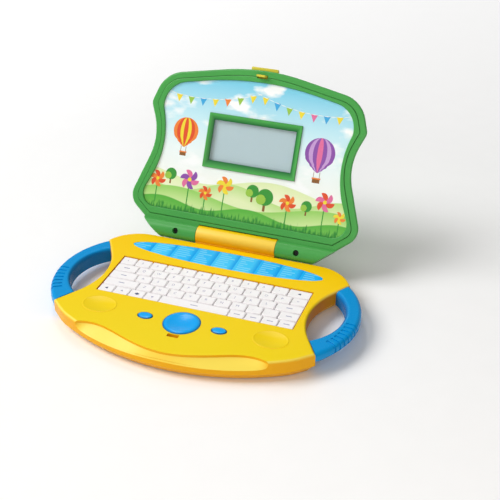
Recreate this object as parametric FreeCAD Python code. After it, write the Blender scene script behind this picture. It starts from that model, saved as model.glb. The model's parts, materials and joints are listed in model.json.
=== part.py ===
import FreeCAD, Part
import math
import os

os.makedirs("parts", exist_ok=True)

# A child's toy laptop, standing open: a yellow base with two blue carrying handles, a green lid
# on a hinge along its back edge, a keyboard of sprung keys, a cursor pad and two buttons.
# Millimetres. The sizes are measured from the deck, which is the base's upper face: x across from
# the middle, y to the back from the middle of the keyboard, z up from the deck.

# Base housing
DECK_HEIGHT = 22.0       # deck above the table
FOOT_HEIGHT = 1.2        # rubber feet below the bottom cover
SKIRT_HEIGHT = 13.0      # depth of the top cover's side walls
WALL = 2.2               # side walls and floor of every cover
DECK_WALL = 2.4          # thickness of the deck
EDGE_ROUND = 2.5         # rounding of the deck's outer edge
BOTTOM_TAPER = 6.0       # how far the bottom cover's sides lean in
GAP = 0.3                # clearance between neighbours that don't touch
PAST = 1.0               # how far a cutter runs past the face it opens

# Plan of the base: half of its corners from back to front, each with its rounding radius
BACK_Y = 81.0
BACK_CORNER = (115.5, BACK_Y, 42.0)
HANDLE_REAR = (128.5, 56.7, 0.0)
WAIST = (93.4, -2.0, 72.0)
HANDLE_FRONT = (129.4, -61.0, 0.0)
FRONT_CORNER = (113.0, -76.6, 60.0)
FRONT_NOSE = (0.0, -137.6, 208.2)

# Carrying handles
HANDLE_SEAMS = (18.6, 24.0)          # lengths of the rear and front seams against the base
HANDLE_X = 153.0         # outermost face
HANDLE_GRIP = 15.4       # width of the grip at its middle
HANDLE_TOP = -0.6        # top of a handle, from the deck
HANDLE_PARTING = -8.0    # seam between its two halves
HANDLE_BOTTOM = -16.5
HANDLE_TAPER = 8.0       # how far the lower half's outer side leans in
HANDLE_ROUND = 4.0       # rounding of the upper half
HANDLE_EDGE = 2.0        # rounding of the lower half
GRIP_GROOVES = 7         # grooves between the ribs on the front half of each grip
GRIP_PITCH = 6.4
GRIP_GROOVE = 2.4        # width of a groove
GRIP_DEPTH = 0.7
GRIP_SPAN = 11.0         # length of a groove over the top, inwards from the outer face
GRIP_START = 4.0         # first groove, from the handle's outermost point

# Scoop along the front edge, under the fingers that open the lid
SCOOP_DEPTH = 9.0
SCOOP_STEP = 2.4         # upright step along its upper line
SCOOP_LINE = ((97.0, -88.0), (75.0, -83.5), (45.0, -93.0), (0.0, -104.0))
SCOOP_REACH = 1.0        # how far its lower edge stands past the front wall
FRONT_RECESS = 1.2       # how far the front wall is set back between the scoop's ends

# Keyboard
KEY_UNIT = 15.9          # width of a single key's place
KEY_PITCH = 12.82        # from row to row
KEY_GAP = 0.6            # between neighbouring caps
KEY_TOP = -0.4           # cap tops, from the deck
KEY_HEIGHT = 3.2
KEY_TRAVEL = 1.5
KEY_LEAN = 0.5           # how far a cap's sides lean in
KEY_STEM = 4.0
KEY_FOOT = 6.0           # retaining foot under the guide plate
KEY_FOOT_HEIGHT = 1.2
SPACE_STEM_X = 24.0      # the space bar's stems, from its middle
SPACE_WIDTH = 4.37       # in key places
KEY_ROWS = (
    (1.0,) * 11 + (1.45,),
    (1.45,) + (1.0,) * 11,
    (1.75,) + (1.0,) * 9 + (1.7,),
    (2.2,) + (1.0,) * 9 + (1.25,),
    (1.0,) * 4 + (SPACE_WIDTH,) + (1.02,) * 4,
)
GUIDE_FLOOR = 1.5        # plate that the stems pass through
GUIDE_RIM = 4.0          # frame round the keys, under the deck
MAT_SHEET = 0.7
DOME_HEIGHT = 0.5
DOME = 6.4               # width of a dome on the rubber sheets
BOARD = 1.6              # thickness of a circuit board

# Name strip, cursor pad, buttons and latch slot
STRIP_Y = 57.5
STRIP_LENGTH = 201.2
STRIP_WIDTH = 29.0
STRIP_DEPTH = 1.0
STRIP_DROP = 0.2         # its face below the deck
PAD_Y = -57.0
PAD_RADIUS = 17.6
PAD_EDGE = 0.1           # its upright edge above the deck
PAD_CROWN = 1.0          # top of the pad above the deck
PAD_CROWN_RADIUS = 13.5
PAD_DISH = 1.2           # hollow in its middle
PAD_BOW = 0.3            # bulge of the slopes on both sides of the crown
BUTTON_X = 36.6
BUTTON_LENGTH = 15.0
BUTTON_WIDTH = 10.4
BUTTON_CROWN = 0.9
BUTTON_TRAVEL = 1.2
FLANGE = 1.8             # lip that holds a button under the deck
FLANGE_HEIGHT = 1.4
BUTTON_BOARD_Z = -7.4    # top of the board under the pad
BUTTON_BOARD = (48.0, -80.0, -39.0)  # half width, front and back edges

# Hinge
HINGE_Z = 4.34
HINGE_CLEAR = 0.588      # between a knuckle and the base's back wall, at the height of the deck
KNUCKLE_RADIUS = 9.2
BARREL_HALF = 42.5
KNUCKLE_GAP = 0.5        # between the barrel and a knuckle
PIN_RADIUS = 2.0
PIN_RUN = 0.05           # running clearance in the knuckles
PIN_INNER = 28.0
PIN_OUTER = 58.0
KNUCKLE_SCREW_X = 65.0
KNUCKLE_SEAT = 3.0       # under the screw's head, from the hinge axis
KNUCKLE_SHANK = 4.6      # end of the screw, behind the hinge axis
TONGUE_ROUND = 4.0       # lower back edge of the tongue that carries the barrel
LID_TILT = 27.5          # leans back past upright on its stop

# Lid: corners from top to bottom, measured up the lid from the hinge axis
LID_FACE = 1.84          # rim face in front of the hinge axis
LID_THICK = 17.0
LID_CORNERS = ((0.0, 178.1, 224.0), (104.6, 158.4, 31.0), (114.9, 127.2, 9.0),
               (101.2, 93.2, 60.0), (124.6, 25.7, 17.0))
LID_FOOT = (101.0, 6.7, 4.0)
LID_SIDE = 3.5           # straight part of its side walls, behind the rim
LID_LEAN = 6.0           # how far the side walls lean in behind that
LID_BACK_ROUND = 4.0
LID_RIM = 6.4            # width of the rear cover's rim, seen from the front
RIM_DROP = 0.8           # how far that rim lies behind the front frame
RIM_DEPTH = 4.2          # thickness of the front frame and of the rim's lip
RIM_ROUND = 1.8          # rounding of the rim's outer edge
RIM_GROOVE = 0.4         # groove between the rim and the front frame
FRAME_ROUND = 0.9        # rounding of the front frame's edges
RIM_LEDGE = 1.6          # ledge inside the rim that the front frame rests on
FIELD_INSET = 16.0       # shallow field on the lid's back
FIELD_DEPTH = 0.8
NOTCH_ROOM = 0.9         # round the barrel, in the notch of the lid
NOTCH_LEDGE = 2.8        # from the notch to the front frame's lower edge
SHROUD = 1.4             # thickness of the curved wall behind the barrel
SHROUD_FOOT = 5.0        # its lower edge, up the lid from the hinge axis
PANEL_CORNERS = ((0.0, 167.9, 312.0), (101.0, 148.2, 26.0), (101.0, 124.7, 8.0),
                 (88.5, 84.2, 95.0), (117.2, 20.5, 14.0))
PANEL_RECESS = 2.8
PANEL = 0.8

# Screen
SCREEN = (43.75, 77.3, 118.6)        # half width, lower and upper edges, up the lid
BEZEL = (49.5, 69.7, 125.2)
BEZEL_PROUD = 2.4        # above the recess floor
BEZEL_LEAN = 1.2         # slope of its inner faces
BEZEL_CHAMFER = 0.5
WINDOW = 1.2
DISPLAY = 3.0
SCREEN_LAP = 2.5         # window and display past the bezel's opening

# Latch
LATCH_HALF = 14.0
LATCH_PROUD = 3.0        # above the lid's edge
LATCH_BAR = 4.6          # thickness of the push bar
LATCH_PLATE = 2.4        # thickness of the plate behind the frame
LATCH_ROUND = 1.0
LATCH_TRAVEL = 1.2
HOOK_UP = 168.3          # hook, up the lid from the hinge axis
HOOK_HALF = 4.5
HOOK_THICK = 2.0
HOOK_REACH = 6.0         # in front of the rim face
SLOT_HALF = 5.5
SLOT_ROOM = 0.6          # round the hook, at both ends of its travel
POCKET_WALL = 1.2        # walls and floor of the pocket under the slot

# Batteries, loudspeaker, screws and feet
CELL_RADIUS = 7.25
CELL_LENGTH = 50.5
CELL_NUB = 2.6           # radius of the terminal
CELL_NUB_LENGTH = 1.0
CELL_ROW = 15.6          # spacing of the two rows
BAY_Y = 56.0             # middle of the battery bay
BAY_WALL = 1.6
DOOR_LEDGE = 3.5
CONTACT = 0.4
CONTACT_HALF = 5.8
SPEAKER = (-76.0, -58.0)
SPEAKER_RIM = 18.0
SPEAKER_BASKET = (16.2, 10.8)        # radii of its front and back
SPEAKER_MAGNET = 9.0
SPEAKER_CONE = (15.3, 5.4)
SPEAKER_LAYER = 2.0      # height of rim, of basket and of magnet
GRILLE_SLOTS = 5
GRILLE_PITCH = 5.5
GRILLE_SLOT = (22.0, 2.2)
SCREWS = ((106.0, 58.0), (111.0, -55.0), (40.0, -85.0), (74.0, 72.5))
SCREW_RADIUS = 1.4
SCREW_HEAD = 2.8
SCREW_HEAD_DEPTH = 2.0
SCREW_SINK = 2.4         # head below the surface it is driven from
BOSS_RADIUS = 3.6
SOCKET_RADIUS = 4.6      # post round a sunk screw head
FEET = ((94.0, 64.0), (102.0, -64.0))
FOOT_RADIUS = 5.5

# Places that follow from the sizes above
FLOOR_Z = FOOT_HEIGHT - DECK_HEIGHT
INNER_FLOOR_Z = FLOOR_Z + WALL
PARTING_Z = -SKIRT_HEIGHT
CEILING_Z = -DECK_WALL
KEYS_HALF_X = KEY_UNIT * sum(KEY_ROWS[0]) / 2
KEYS_HALF_Y = KEY_PITCH * len(KEY_ROWS) / 2
GUIDE_TOP = KEY_TOP - KEY_HEIGHT - KEY_TRAVEL - GAP
GUIDE_BOTTOM = GUIDE_TOP - GUIDE_FLOOR
FOOT_TOP = GUIDE_BOTTOM - GAP
DOME_TOP = FOOT_TOP - KEY_FOOT_HEIGHT - KEY_TRAVEL - GAP
MAT_TOP = DOME_TOP - DOME_HEIGHT
KEY_BOARD_TOP = MAT_TOP - MAT_SHEET
HINGE_Y = BACK_Y + math.sqrt(KNUCKLE_RADIUS ** 2 - HINGE_Z ** 2) + HINGE_CLEAR
NOTCH_HEIGHT = KNUCKLE_RADIUS + NOTCH_ROOM
FRAME_FOOT = NOTCH_HEIGHT + NOTCH_LEDGE
LID_BACK = LID_FACE - LID_THICK
LID_TOP = LID_CORNERS[0][1] - LID_CORNERS[0][2] * (
    1 / math.cos(math.atan2(LID_CORNERS[0][1] - LID_CORNERS[1][1], LID_CORNERS[1][0])) - 1)
LATCH_FRONT = LID_FACE - RIM_DEPTH - GAP
LATCH_SHOULDER = LID_TOP - 2 * WALL - GAP
LATCH_FOOT = HOOK_UP - HOOK_THICK / 2 - 2 * WALL
CELL_Z = INNER_FLOOR_Z + GAP + CELL_RADIUS
BAY_HALF_X = CELL_LENGTH + GAP + 2 * CONTACT
BAY_HALF_Y = CELL_ROW / 2 + CELL_RADIUS + GAP
TILT = math.radians(LID_TILT)
SLOT_Y = HINGE_Y - HOOK_UP
SLOT_FRONT = SLOT_Y - HOOK_THICK / 2 - SLOT_ROOM
SLOT_BACK = SLOT_Y + HOOK_THICK / 2 + LATCH_TRAVEL + SLOT_ROOM
POCKET_Z = HINGE_Z - LID_FACE - HOOK_REACH - SLOT_ROOM
FRONT_CENTRE = FRONT_NOSE[1] + FRONT_NOSE[2] / math.cos(
    math.atan2(FRONT_CORNER[1] - FRONT_NOSE[1], FRONT_CORNER[0]))
FRONT_Y = FRONT_CENTRE - FRONT_NOSE[2] + FRONT_RECESS
REAR_Y = HINGE_Y + (LID_TOP - LID_LEAN - LID_BACK_ROUND / 2) * math.sin(TILT) - LID_BACK * math.cos(TILT)
FRAME_Y = (FRONT_Y + REAR_Y) / 2     # the frame's origin lies under the middle of the whole object

TINY = 1e-4
V = FreeCAD.Vector
UP = V(0, 0, 1)
ACROSS = V(1, 0, 0)


def mirrored(half):
    """A symmetric loop of corners from its right half, listed from one end to the other."""
    left = [(-x, y, r) for x, y, r in reversed(half) if x > 0]
    return list(half) + left


def rounded_face(corners):
    """A flat face whose sharp corners (x, y, radius) are rounded by tangent arcs."""
    count = len(corners)
    points = [V(x, y, 0) for x, y, r in corners]
    spans = []
    for i, (x, y, radius) in enumerate(corners):
        back = (points[i - 1] - points[i]).normalize()
        ahead = (points[(i + 1) % count] - points[i]).normalize()
        if radius == 0:
            spans.append((points[i], None, points[i]))
            continue
        half_angle = back.getAngle(ahead) / 2
        length = radius / math.tan(half_angle)
        middle = (back + ahead).normalize() * (radius / math.sin(half_angle) - radius)
        spans.append((points[i] + back * length, points[i] + middle, points[i] + ahead * length))
    edges = []
    for i, (start, middle, end) in enumerate(spans):
        if middle is not None:
            edges.append(Part.Arc(start, middle, end).toShape())
        following = spans[(i + 1) % count][0]
        if end.distanceToPoint(following) > TINY:
            edges.append(Part.LineSegment(end, following).toShape())
    face = Part.Face(Part.Wire(edges))
    if face.normalAt(0, 0).z < 0:
        face.reverse()
    return face


def grown(face, by):
    """The same outline moved outwards, or inwards where by is negative."""
    return face.makeOffset2D(by, 2)


def prism(face, low, high):
    """The face's outline as a straight solid between two heights."""
    base = face.copy()
    base.translate(V(0, 0, low))
    return base.extrude(V(0, 0, high - low))


def taper(lower, low, upper, high):
    """A straight-sided solid between two outlines of like corners."""
    ends = []
    for face, height in ((lower, low), (upper, high)):
        copy = face.copy()
        copy.translate(V(0, 0, height))
        ends.append(copy.OuterWire)
    return Part.makeLoft(ends, True, True)


def block(x, y, z):
    """A box from its (low, high) limits."""
    return Part.makeBox(x[1] - x[0], y[1] - y[0], z[1] - z[0], V(x[0], y[0], z[0]))


def post(x, y, radius, low, high):
    """An upright cylinder."""
    return Part.makeCylinder(radius, high - low, V(x, y, low))


def along_x(radius, x, y, z):
    """A cylinder along x between two limits."""
    return Part.makeCylinder(radius, x[1] - x[0], V(x[0], y, z), ACROSS)


def ellipse(length, width, low, high):
    """An upright elliptical solid about the origin."""
    edge = Part.Ellipse(V(0, 0, 0), length / 2, width / 2).toShape()
    return prism(Part.Face(Part.Wire([edge])), low, high)


def edges_at(shape, height):
    """Edges that lie flat at a height."""
    found = []
    for edge in shape.Edges:
        box = edge.BoundBox
        if max(abs(box.ZMin - height), abs(box.ZMax - height)) < TINY:
            found.append(edge)
    return found


def flipped(shape):
    """The shape's mirror image across x = 0."""
    return shape.mirror(V(0, 0, 0), ACROSS)


def both_sides(places):
    """Each place and its mirror image."""
    return [(side * x, y) for x, y in places for side in (1, -1)]


def fused(shapes):
    """One solid from shapes that overlap or share faces."""
    return shapes[0].fuse(shapes[1:]).removeSplitter()


# Plan of the base, shared by both covers
BASE_PLAN = rounded_face(mirrored(
    [BACK_CORNER, HANDLE_REAR, WAIST, HANDLE_FRONT, FRONT_CORNER, FRONT_NOSE]))


def scoop():
    """The space over the scoop: from the foot of its curved step down to the front lip."""
    right = [V(x, y, -SCOOP_STEP) for x, y in SCOOP_LINE]
    left = [V(-p.x, p.y, p.z) for p in right[:-1]]
    line = Part.BSplineCurve()
    line.interpolate(left + right[::-1])
    lip = front_line(-SCOOP_REACH, 0)
    lip.translate(V(0, 0, -SCOOP_DEPTH))
    floor = Part.makeRuledSurface(line.toShape(), lip)
    return floor.extrude(V(0, 0, DECK_HEIGHT))


def front_line(inset, past):
    """The front wall's flatter line, drawn in by an amount and carried on past the scoop's ends."""
    radius = FRONT_NOSE[2] - inset
    end_x = SCOOP_LINE[0][0]
    end_y = FRONT_CENTRE - math.sqrt(radius ** 2 - end_x ** 2)
    middle = V(0, FRONT_CENTRE - radius + FRONT_RECESS, 0)
    flat = Part.Arc(V(-end_x, end_y, 0), middle, V(end_x, end_y, 0)).toShape().Curve
    reach = math.asin((end_x + past) / flat.Radius)
    ends = [flat.Center + V(side * math.sin(reach), -math.cos(reach), 0) * flat.Radius for side in (-1, 1)]
    return Part.Arc(ends[0], middle, ends[1]).toShape()


def front_slice(inset):
    """Outline of the slice taken off the front wall, drawn in by an amount."""
    line = front_line(inset, WALL)
    left, right = [vertex.Point for vertex in line.Vertexes]
    ahead = FRONT_Y - 2 * FRONT_RECESS
    corners = [right, V(right.x, ahead, 0), V(left.x, ahead, 0), left]
    return Part.Face(Part.Wire([line] + Part.makePolygon(corners).Edges))


def key_places():
    """Each row's key places as (middle x, middle y, width)."""
    rows = []
    for row, widths in enumerate(KEY_ROWS):
        x = -KEYS_HALF_X
        y = KEYS_HALF_Y - KEY_PITCH * (row + 0.5)
        places = []
        for units in widths:
            width = units * KEY_UNIT
            places.append((x + width / 2, y, width))
            x += width
        rows.append(places)
    return rows


def stem_places(place):
    """Where a key's stems stand: two under the space bar, one under any other key."""
    x, y, width = place
    if width > SPACE_STEM_X * 2:
        return [(x - SPACE_STEM_X, y), (x + SPACE_STEM_X, y)]
    return [(x, y)]


def key(place):
    """One key: a tapered cap, its stem and the foot that keeps it under the guide plate."""
    x, y, width = place
    half_x = (width - KEY_GAP) / 2
    half_y = (KEY_PITCH - KEY_GAP) / 2
    low = rounded_face(mirrored([(half_x, half_y, 0), (half_x, -half_y, 0)]))
    high = rounded_face(mirrored([(half_x - KEY_LEAN, half_y - KEY_LEAN, 0),
                                  (half_x - KEY_LEAN, KEY_LEAN - half_y, 0)]))
    cap = taper(low, KEY_TOP - KEY_HEIGHT, high, KEY_TOP)
    cap.translate(V(x, y, 0))
    pieces = [cap]
    for sx, sy in stem_places(place):
        for half, bottom, top in ((KEY_STEM / 2, FOOT_TOP - KEY_FOOT_HEIGHT, KEY_TOP - KEY_HEIGHT),
                                  (KEY_FOOT / 2, FOOT_TOP - KEY_FOOT_HEIGHT, FOOT_TOP)):
            pieces.append(block((sx - half, sx + half), (sy - half, sy + half), (bottom, top)))
    return fused(pieces)


def key_guide_plate():
    """The tray under the keys: a frame against the deck and a floor with a hole for each stem."""
    half_x = KEYS_HALF_X + GUIDE_RIM
    half_y = KEYS_HALF_Y + GUIDE_RIM
    tray = block((-half_x, half_x), (-half_y, half_y), (KEY_BOARD_TOP, CEILING_Z))
    well = (KEYS_HALF_X + GAP, KEYS_HALF_Y + GAP)
    cuts = [block((-well[0], well[0]), (-well[1], well[1]), (GUIDE_TOP, 0)),
            block((-well[0], well[0]), (-well[1], well[1]), (KEY_BOARD_TOP, GUIDE_BOTTOM))]
    hole = KEY_STEM / 2 + GAP
    for row in key_places():
        for place in row:
            for x, y in stem_places(place):
                cuts.append(block((x - hole, x + hole), (y - hole, y + hole), (GUIDE_BOTTOM, GUIDE_TOP)))
    return tray.cut(cuts)


def key_mat():
    """The rubber sheet under the keys, with a square dome below each stem."""
    half_x = KEYS_HALF_X
    half_y = KEYS_HALF_Y
    pieces = [block((-half_x, half_x), (-half_y, half_y), (KEY_BOARD_TOP, MAT_TOP))]
    for row in key_places():
        for place in row:
            for x, y in stem_places(place):
                pieces.append(block((x - DOME / 2, x + DOME / 2), (y - DOME / 2, y + DOME / 2),
                                    (MAT_TOP, DOME_TOP)))
    return fused(pieces)


def key_board():
    """The circuit board that closes the key tray from below."""
    half_x = KEYS_HALF_X + GUIDE_RIM
    half_y = KEYS_HALF_Y + GUIDE_RIM
    return block((-half_x, half_x), (-half_y, half_y), (KEY_BOARD_TOP - BOARD, KEY_BOARD_TOP))


def moved(shape, x, y, z=0.0):
    """The shape, carried to a place."""
    shape.translate(V(x, y, z))
    return shape


def base_top_cover():
    """The yellow upper shell: deck, skirt, front scoop, openings, latch pocket and screw bosses."""
    shell = prism(BASE_PLAN, PARTING_Z, 0)
    shell = shell.makeFillet(EDGE_ROUND, edges_at(shell, 0))
    hand = scoop()
    hollow = prism(grown(BASE_PLAN, -WALL), PARTING_Z, CEILING_Z)
    hollow = hollow.cut(moved(scoop(), 0, WALL, -DECK_WALL))
    recess = prism(front_slice(0), FLOOR_Z - PAST, PAST)
    shell = shell.cut([hand, hollow, recess])
    bosses = [block((-SLOT_HALF - POCKET_WALL, SLOT_HALF + POCKET_WALL),
                    (SLOT_FRONT - POCKET_WALL, SLOT_BACK + POCKET_WALL), (POCKET_Z - POCKET_WALL, CEILING_Z))]
    for x, y in both_sides(SCREWS):
        bosses.append(post(x, y, BOSS_RADIUS, PARTING_Z, CEILING_Z))
    half_x, front, back = BUTTON_BOARD
    for x in (half_x - BOSS_RADIUS, BOSS_RADIUS - half_x):
        for y in (front + BOSS_RADIUS, back - BOSS_RADIUS):
            bosses.append(post(x, y, BOSS_RADIUS, BUTTON_BOARD_Z, CEILING_Z))
    shell = fused([shell] + bosses)
    low = CEILING_Z - PAST
    cuts = [moved(ellipse(STRIP_LENGTH + GAP, STRIP_WIDTH + GAP, -STRIP_DEPTH, PAST), 0, STRIP_Y)]
    cuts.append(block((-KEYS_HALF_X - GAP, KEYS_HALF_X + GAP), (-KEYS_HALF_Y - GAP, KEYS_HALF_Y + GAP),
                      (low, PAST)))
    cuts.append(post(0, PAD_Y, PAD_RADIUS + GAP, low, PAST))
    for x in (BUTTON_X, -BUTTON_X):
        hole = ellipse(BUTTON_LENGTH + 2 * GAP, BUTTON_WIDTH + 2 * GAP, low, PAST)
        cuts.append(moved(hole, x, PAD_Y))
    cuts.append(block((-SLOT_HALF, SLOT_HALF), (SLOT_FRONT, SLOT_BACK), (POCKET_Z, PAST)))
    for x, y in both_sides(SCREWS):
        cuts.append(post(x, y, SCREW_RADIUS, PARTING_Z, CEILING_Z - DECK_WALL))
    return shell.cut(cuts)


def bay_frame(grow, low, high):
    """A block round the battery bay."""
    half_x = BAY_HALF_X + grow
    half_y = BAY_HALF_Y + grow
    return block((-half_x, half_x), (BAY_Y - half_y, BAY_Y + half_y), (low, high))


def base_bottom_cover():
    """The yellow lower shell: leaning sides, battery bay, screw bosses, grille and hinge tongue."""
    shell = taper(grown(BASE_PLAN, -BOTTOM_TAPER), FLOOR_Z, BASE_PLAN, PARTING_Z)
    hollow = taper(grown(BASE_PLAN, -BOTTOM_TAPER - WALL), INNER_FLOOR_Z,
                   grown(BASE_PLAN, -WALL), PARTING_Z)
    recess = taper(front_slice(BOTTOM_TAPER), FLOOR_Z, front_slice(0), PARTING_Z)
    shell = shell.cut([hollow, recess])
    adds = [bay_frame(DOOR_LEDGE + BAY_WALL, INNER_FLOOR_Z - WALL / 2, INNER_FLOOR_Z + WALL),
            bay_frame(BAY_WALL, INNER_FLOOR_Z, CELL_Z)]
    rear = HINGE_Y + KNUCKLE_RADIUS
    tongue = block((-BARREL_HALF, BARREL_HALF), (BACK_Y - BOTTOM_TAPER - WALL, rear), (FLOOR_Z, PARTING_Z))
    adds.append(tongue.makeFillet(TONGUE_ROUND, [e for e in edges_at(tongue, FLOOR_Z)
                                                 if e.BoundBox.YMin > rear - TINY]))
    for x, y in both_sides(SCREWS):
        adds.append(post(x, y, SOCKET_RADIUS, INNER_FLOOR_Z - WALL / 2, PARTING_Z))
    shell = fused([shell] + adds)
    cuts = [bay_frame(0, FLOOR_Z - PAST, CELL_Z + PAST),
            bay_frame(DOOR_LEDGE, FLOOR_Z - PAST, INNER_FLOOR_Z)]
    for x, y in both_sides(SCREWS):
        cuts.append(post(x, y, SCREW_RADIUS + GAP / 2, FLOOR_Z, PARTING_Z))
        cuts.append(post(x, y, SCREW_HEAD + GAP, FLOOR_Z, FLOOR_Z + SCREW_SINK + SCREW_HEAD_DEPTH))
    length, width = GRILLE_SLOT
    for i in range(GRILLE_SLOTS):
        y = SPEAKER[1] + (i - (GRILLE_SLOTS - 1) / 2) * GRILLE_PITCH
        cuts.append(block((SPEAKER[0] - length / 2, SPEAKER[0] + length / 2),
                          (y - width / 2, y + width / 2), (FLOOR_Z - PAST, INNER_FLOOR_Z + PAST)))
    return shell.cut(cuts)


def battery_door():
    """The cover of the battery bay, let into the bottom cover and flush with it."""
    return bay_frame(DOOR_LEDGE - GAP, FLOOR_Z, INNER_FLOOR_Z)


def battery_cells():
    """Two rows of two round cells, end to end."""
    cells = []
    for row in (-1, 1):
        y = BAY_Y + row * CELL_ROW / 2
        for start in (-CELL_LENGTH, GAP / 2):
            shoulder = start + CELL_NUB_LENGTH
            body = along_x(CELL_RADIUS, (shoulder, start + CELL_LENGTH - GAP / 2), y, CELL_Z)
            nub = along_x(CELL_NUB, (start, shoulder), y, CELL_Z)
            cells.append(body.fuse(nub))
    return Part.makeCompound(cells)


def battery_contacts():
    """Two leaf plates at each end of the bay."""
    plates = []
    for side in (-1, 1):
        for row in (-1, 1):
            y = BAY_Y + row * CELL_ROW / 2
            x = sorted((side * BAY_HALF_X, side * (BAY_HALF_X - CONTACT)))
            plates.append(block(x, (y - CONTACT_HALF, y + CONTACT_HALF), (INNER_FLOOR_Z + WALL, CELL_Z)))
    return Part.makeCompound(plates)


def screw(x, y, head_z, tip_z):
    """A screw driven upwards: round head and shank."""
    head = post(x, y, SCREW_HEAD, head_z, head_z + SCREW_HEAD_DEPTH)
    return head.fuse(post(x, y, SCREW_RADIUS, head_z + SCREW_HEAD_DEPTH, tip_z))


def base_screws():
    """The screws that hold the two covers together."""
    head_z = FLOOR_Z + SCREW_SINK
    tip_z = CEILING_Z - DECK_WALL - GAP
    return Part.makeCompound([screw(x, y, head_z, tip_z) for x, y in both_sides(SCREWS)])


def rubber_feet():
    """Four round feet under the bottom cover."""
    feet = []
    for x, y in both_sides(FEET):
        foot = post(x, y, FOOT_RADIUS, -DECK_HEIGHT, FLOOR_Z)
        feet.append(foot.makeChamfer(FOOT_HEIGHT / 3, edges_at(foot, -DECK_HEIGHT)))
    return Part.makeCompound(feet)


def handle_plan(inset):
    """Outline of the right-hand handle: a crescent whose outer side is drawn in by the inset."""
    waist = V(WAIST[0], WAIST[1], 0)
    ends = [V(*HANDLE_REAR), V(*HANDLE_FRONT)]
    seams = [(waist - end).normalize() for end in ends]
    rear, front = [end + seam * inset for end, seam in zip(ends, seams)]
    rear_in, front_in = [end + seam * length for end, seam, length in zip(ends, seams, HANDLE_SEAMS)]
    outer = Part.Arc(front, V(HANDLE_X - inset, waist.y, 0), rear)
    inner = Part.Arc(rear_in, V(HANDLE_X - HANDLE_GRIP, -waist.y, 0), front_in)
    sides = [outer, Part.LineSegment(rear, rear_in), inner, Part.LineSegment(front_in, front)]
    return Part.Face(Part.Wire([side.toShape() for side in sides]))


def long_edges(solid, height):
    """A handle's two curved edges at a height."""
    return [edge for edge in edges_at(solid, height) if edge.Curve.TypeId == "Part::GeomCircle"]


def upper_half(drop):
    """The rounded upper half of the right-hand handle, its top and outer side drawn in by an amount."""
    half = prism(handle_plan(drop), HANDLE_PARTING, HANDLE_TOP - drop)
    return half.makeFillet(HANDLE_ROUND - drop, long_edges(half, HANDLE_TOP - drop))


def handle_upper():
    """Upper half of the right-hand handle, with grooves over the outer side of its grip."""
    outline = max(long_edges(prism(handle_plan(0), HANDLE_PARTING, HANDLE_TOP), HANDLE_TOP),
                  key=lambda edge: edge.BoundBox.XMax).Curve
    core = upper_half(GRIP_DEPTH)
    grooves = []
    for i in range(GRIP_GROOVES):
        along = GRIP_START + i * GRIP_PITCH
        bar = block((HANDLE_X - GRIP_SPAN, HANDLE_X + PAST), (-GRIP_GROOVE / 2, GRIP_GROOVE / 2),
                    (HANDLE_PARTING - PAST, HANDLE_TOP + PAST))
        bar = moved(bar, 0, outline.Center.y)
        bar.rotate(outline.Center, UP, -math.degrees(along / outline.Radius))
        grooves.append(bar.cut(core))
    return upper_half(0).cut(grooves)


def handle_lower():
    """Lower half of the right-hand handle, leaning in below the seam."""
    half = taper(handle_plan(HANDLE_TAPER), HANDLE_BOTTOM, handle_plan(0), HANDLE_PARTING)
    return half.makeFillet(HANDLE_EDGE, long_edges(half, HANDLE_BOTTOM))


def info_strip():
    """The blue printed strip, let into the deck behind the keys."""
    return moved(ellipse(STRIP_LENGTH, STRIP_WIDTH, -STRIP_DEPTH, -STRIP_DROP), 0, STRIP_Y)


def bowed(start, end, rise):
    """A curve between two points of a profile, its middle raised from the straight line."""
    middle = (start + end) * 0.5
    curve = Part.BSplineCurve()
    curve.interpolate([start, middle + V(0, 0, rise), end])
    return curve.toShape()


def cursor_pad():
    """The round pad: crowned rim, dished middle and a lip under the deck, flat beside the latch pocket."""
    lip = PAD_RADIUS + FLANGE
    lip_top = CEILING_Z - GAP
    lip_low = lip_top - FLANGE_HEIGHT
    points = [V(0, 0, lip_low), V(lip, 0, lip_low), V(lip, 0, lip_top), V(PAD_RADIUS, 0, lip_top),
              V(PAD_RADIUS, 0, PAD_EDGE)]
    edges = [Part.LineSegment(a, b).toShape() for a, b in zip(points, points[1:])]
    crown = V(PAD_CROWN_RADIUS, 0, PAD_CROWN)
    middle = V(0, 0, PAD_CROWN - PAD_DISH)
    edges.append(bowed(points[-1], crown, PAD_BOW))
    edges.append(bowed(crown, middle, -PAD_BOW))
    edges.append(Part.LineSegment(middle, points[0]).toShape())
    profile = Part.Face(Part.Wire(edges))
    pad = moved(profile.revolve(V(0, 0, 0), UP, 360), 0, PAD_Y)
    flat = SLOT_BACK + POCKET_WALL + GAP
    return pad.cut(block((-lip, lip), (PAD_Y - lip - PAST, flat), (lip_low - PAST, lip_top)))


def side_button(side):
    """An oval button with a rounded top and a lip under the deck."""
    cap = ellipse(BUTTON_LENGTH, BUTTON_WIDTH, CEILING_Z - GAP, BUTTON_CROWN)
    cap = cap.makeFillet(BUTTON_CROWN, edges_at(cap, BUTTON_CROWN))
    lip = ellipse(BUTTON_LENGTH + 2 * FLANGE, BUTTON_WIDTH + 2 * FLANGE,
                  CEILING_Z - GAP - FLANGE_HEIGHT, CEILING_Z - GAP)
    return moved(fused([cap, lip]), side * BUTTON_X, PAD_Y)


def button_board():
    """The main circuit board, under the cursor pad, with its sealed chip."""
    half_x, front, back = BUTTON_BOARD
    board = block((-half_x, half_x), (front, back), (BUTTON_BOARD_Z - BOARD, BUTTON_BOARD_Z))
    chip = post(0, (front + back) / 2, KEY_UNIT / 2, BUTTON_BOARD_Z - 2 * BOARD, BUTTON_BOARD_Z - BOARD)
    return fused([board, chip])


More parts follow.
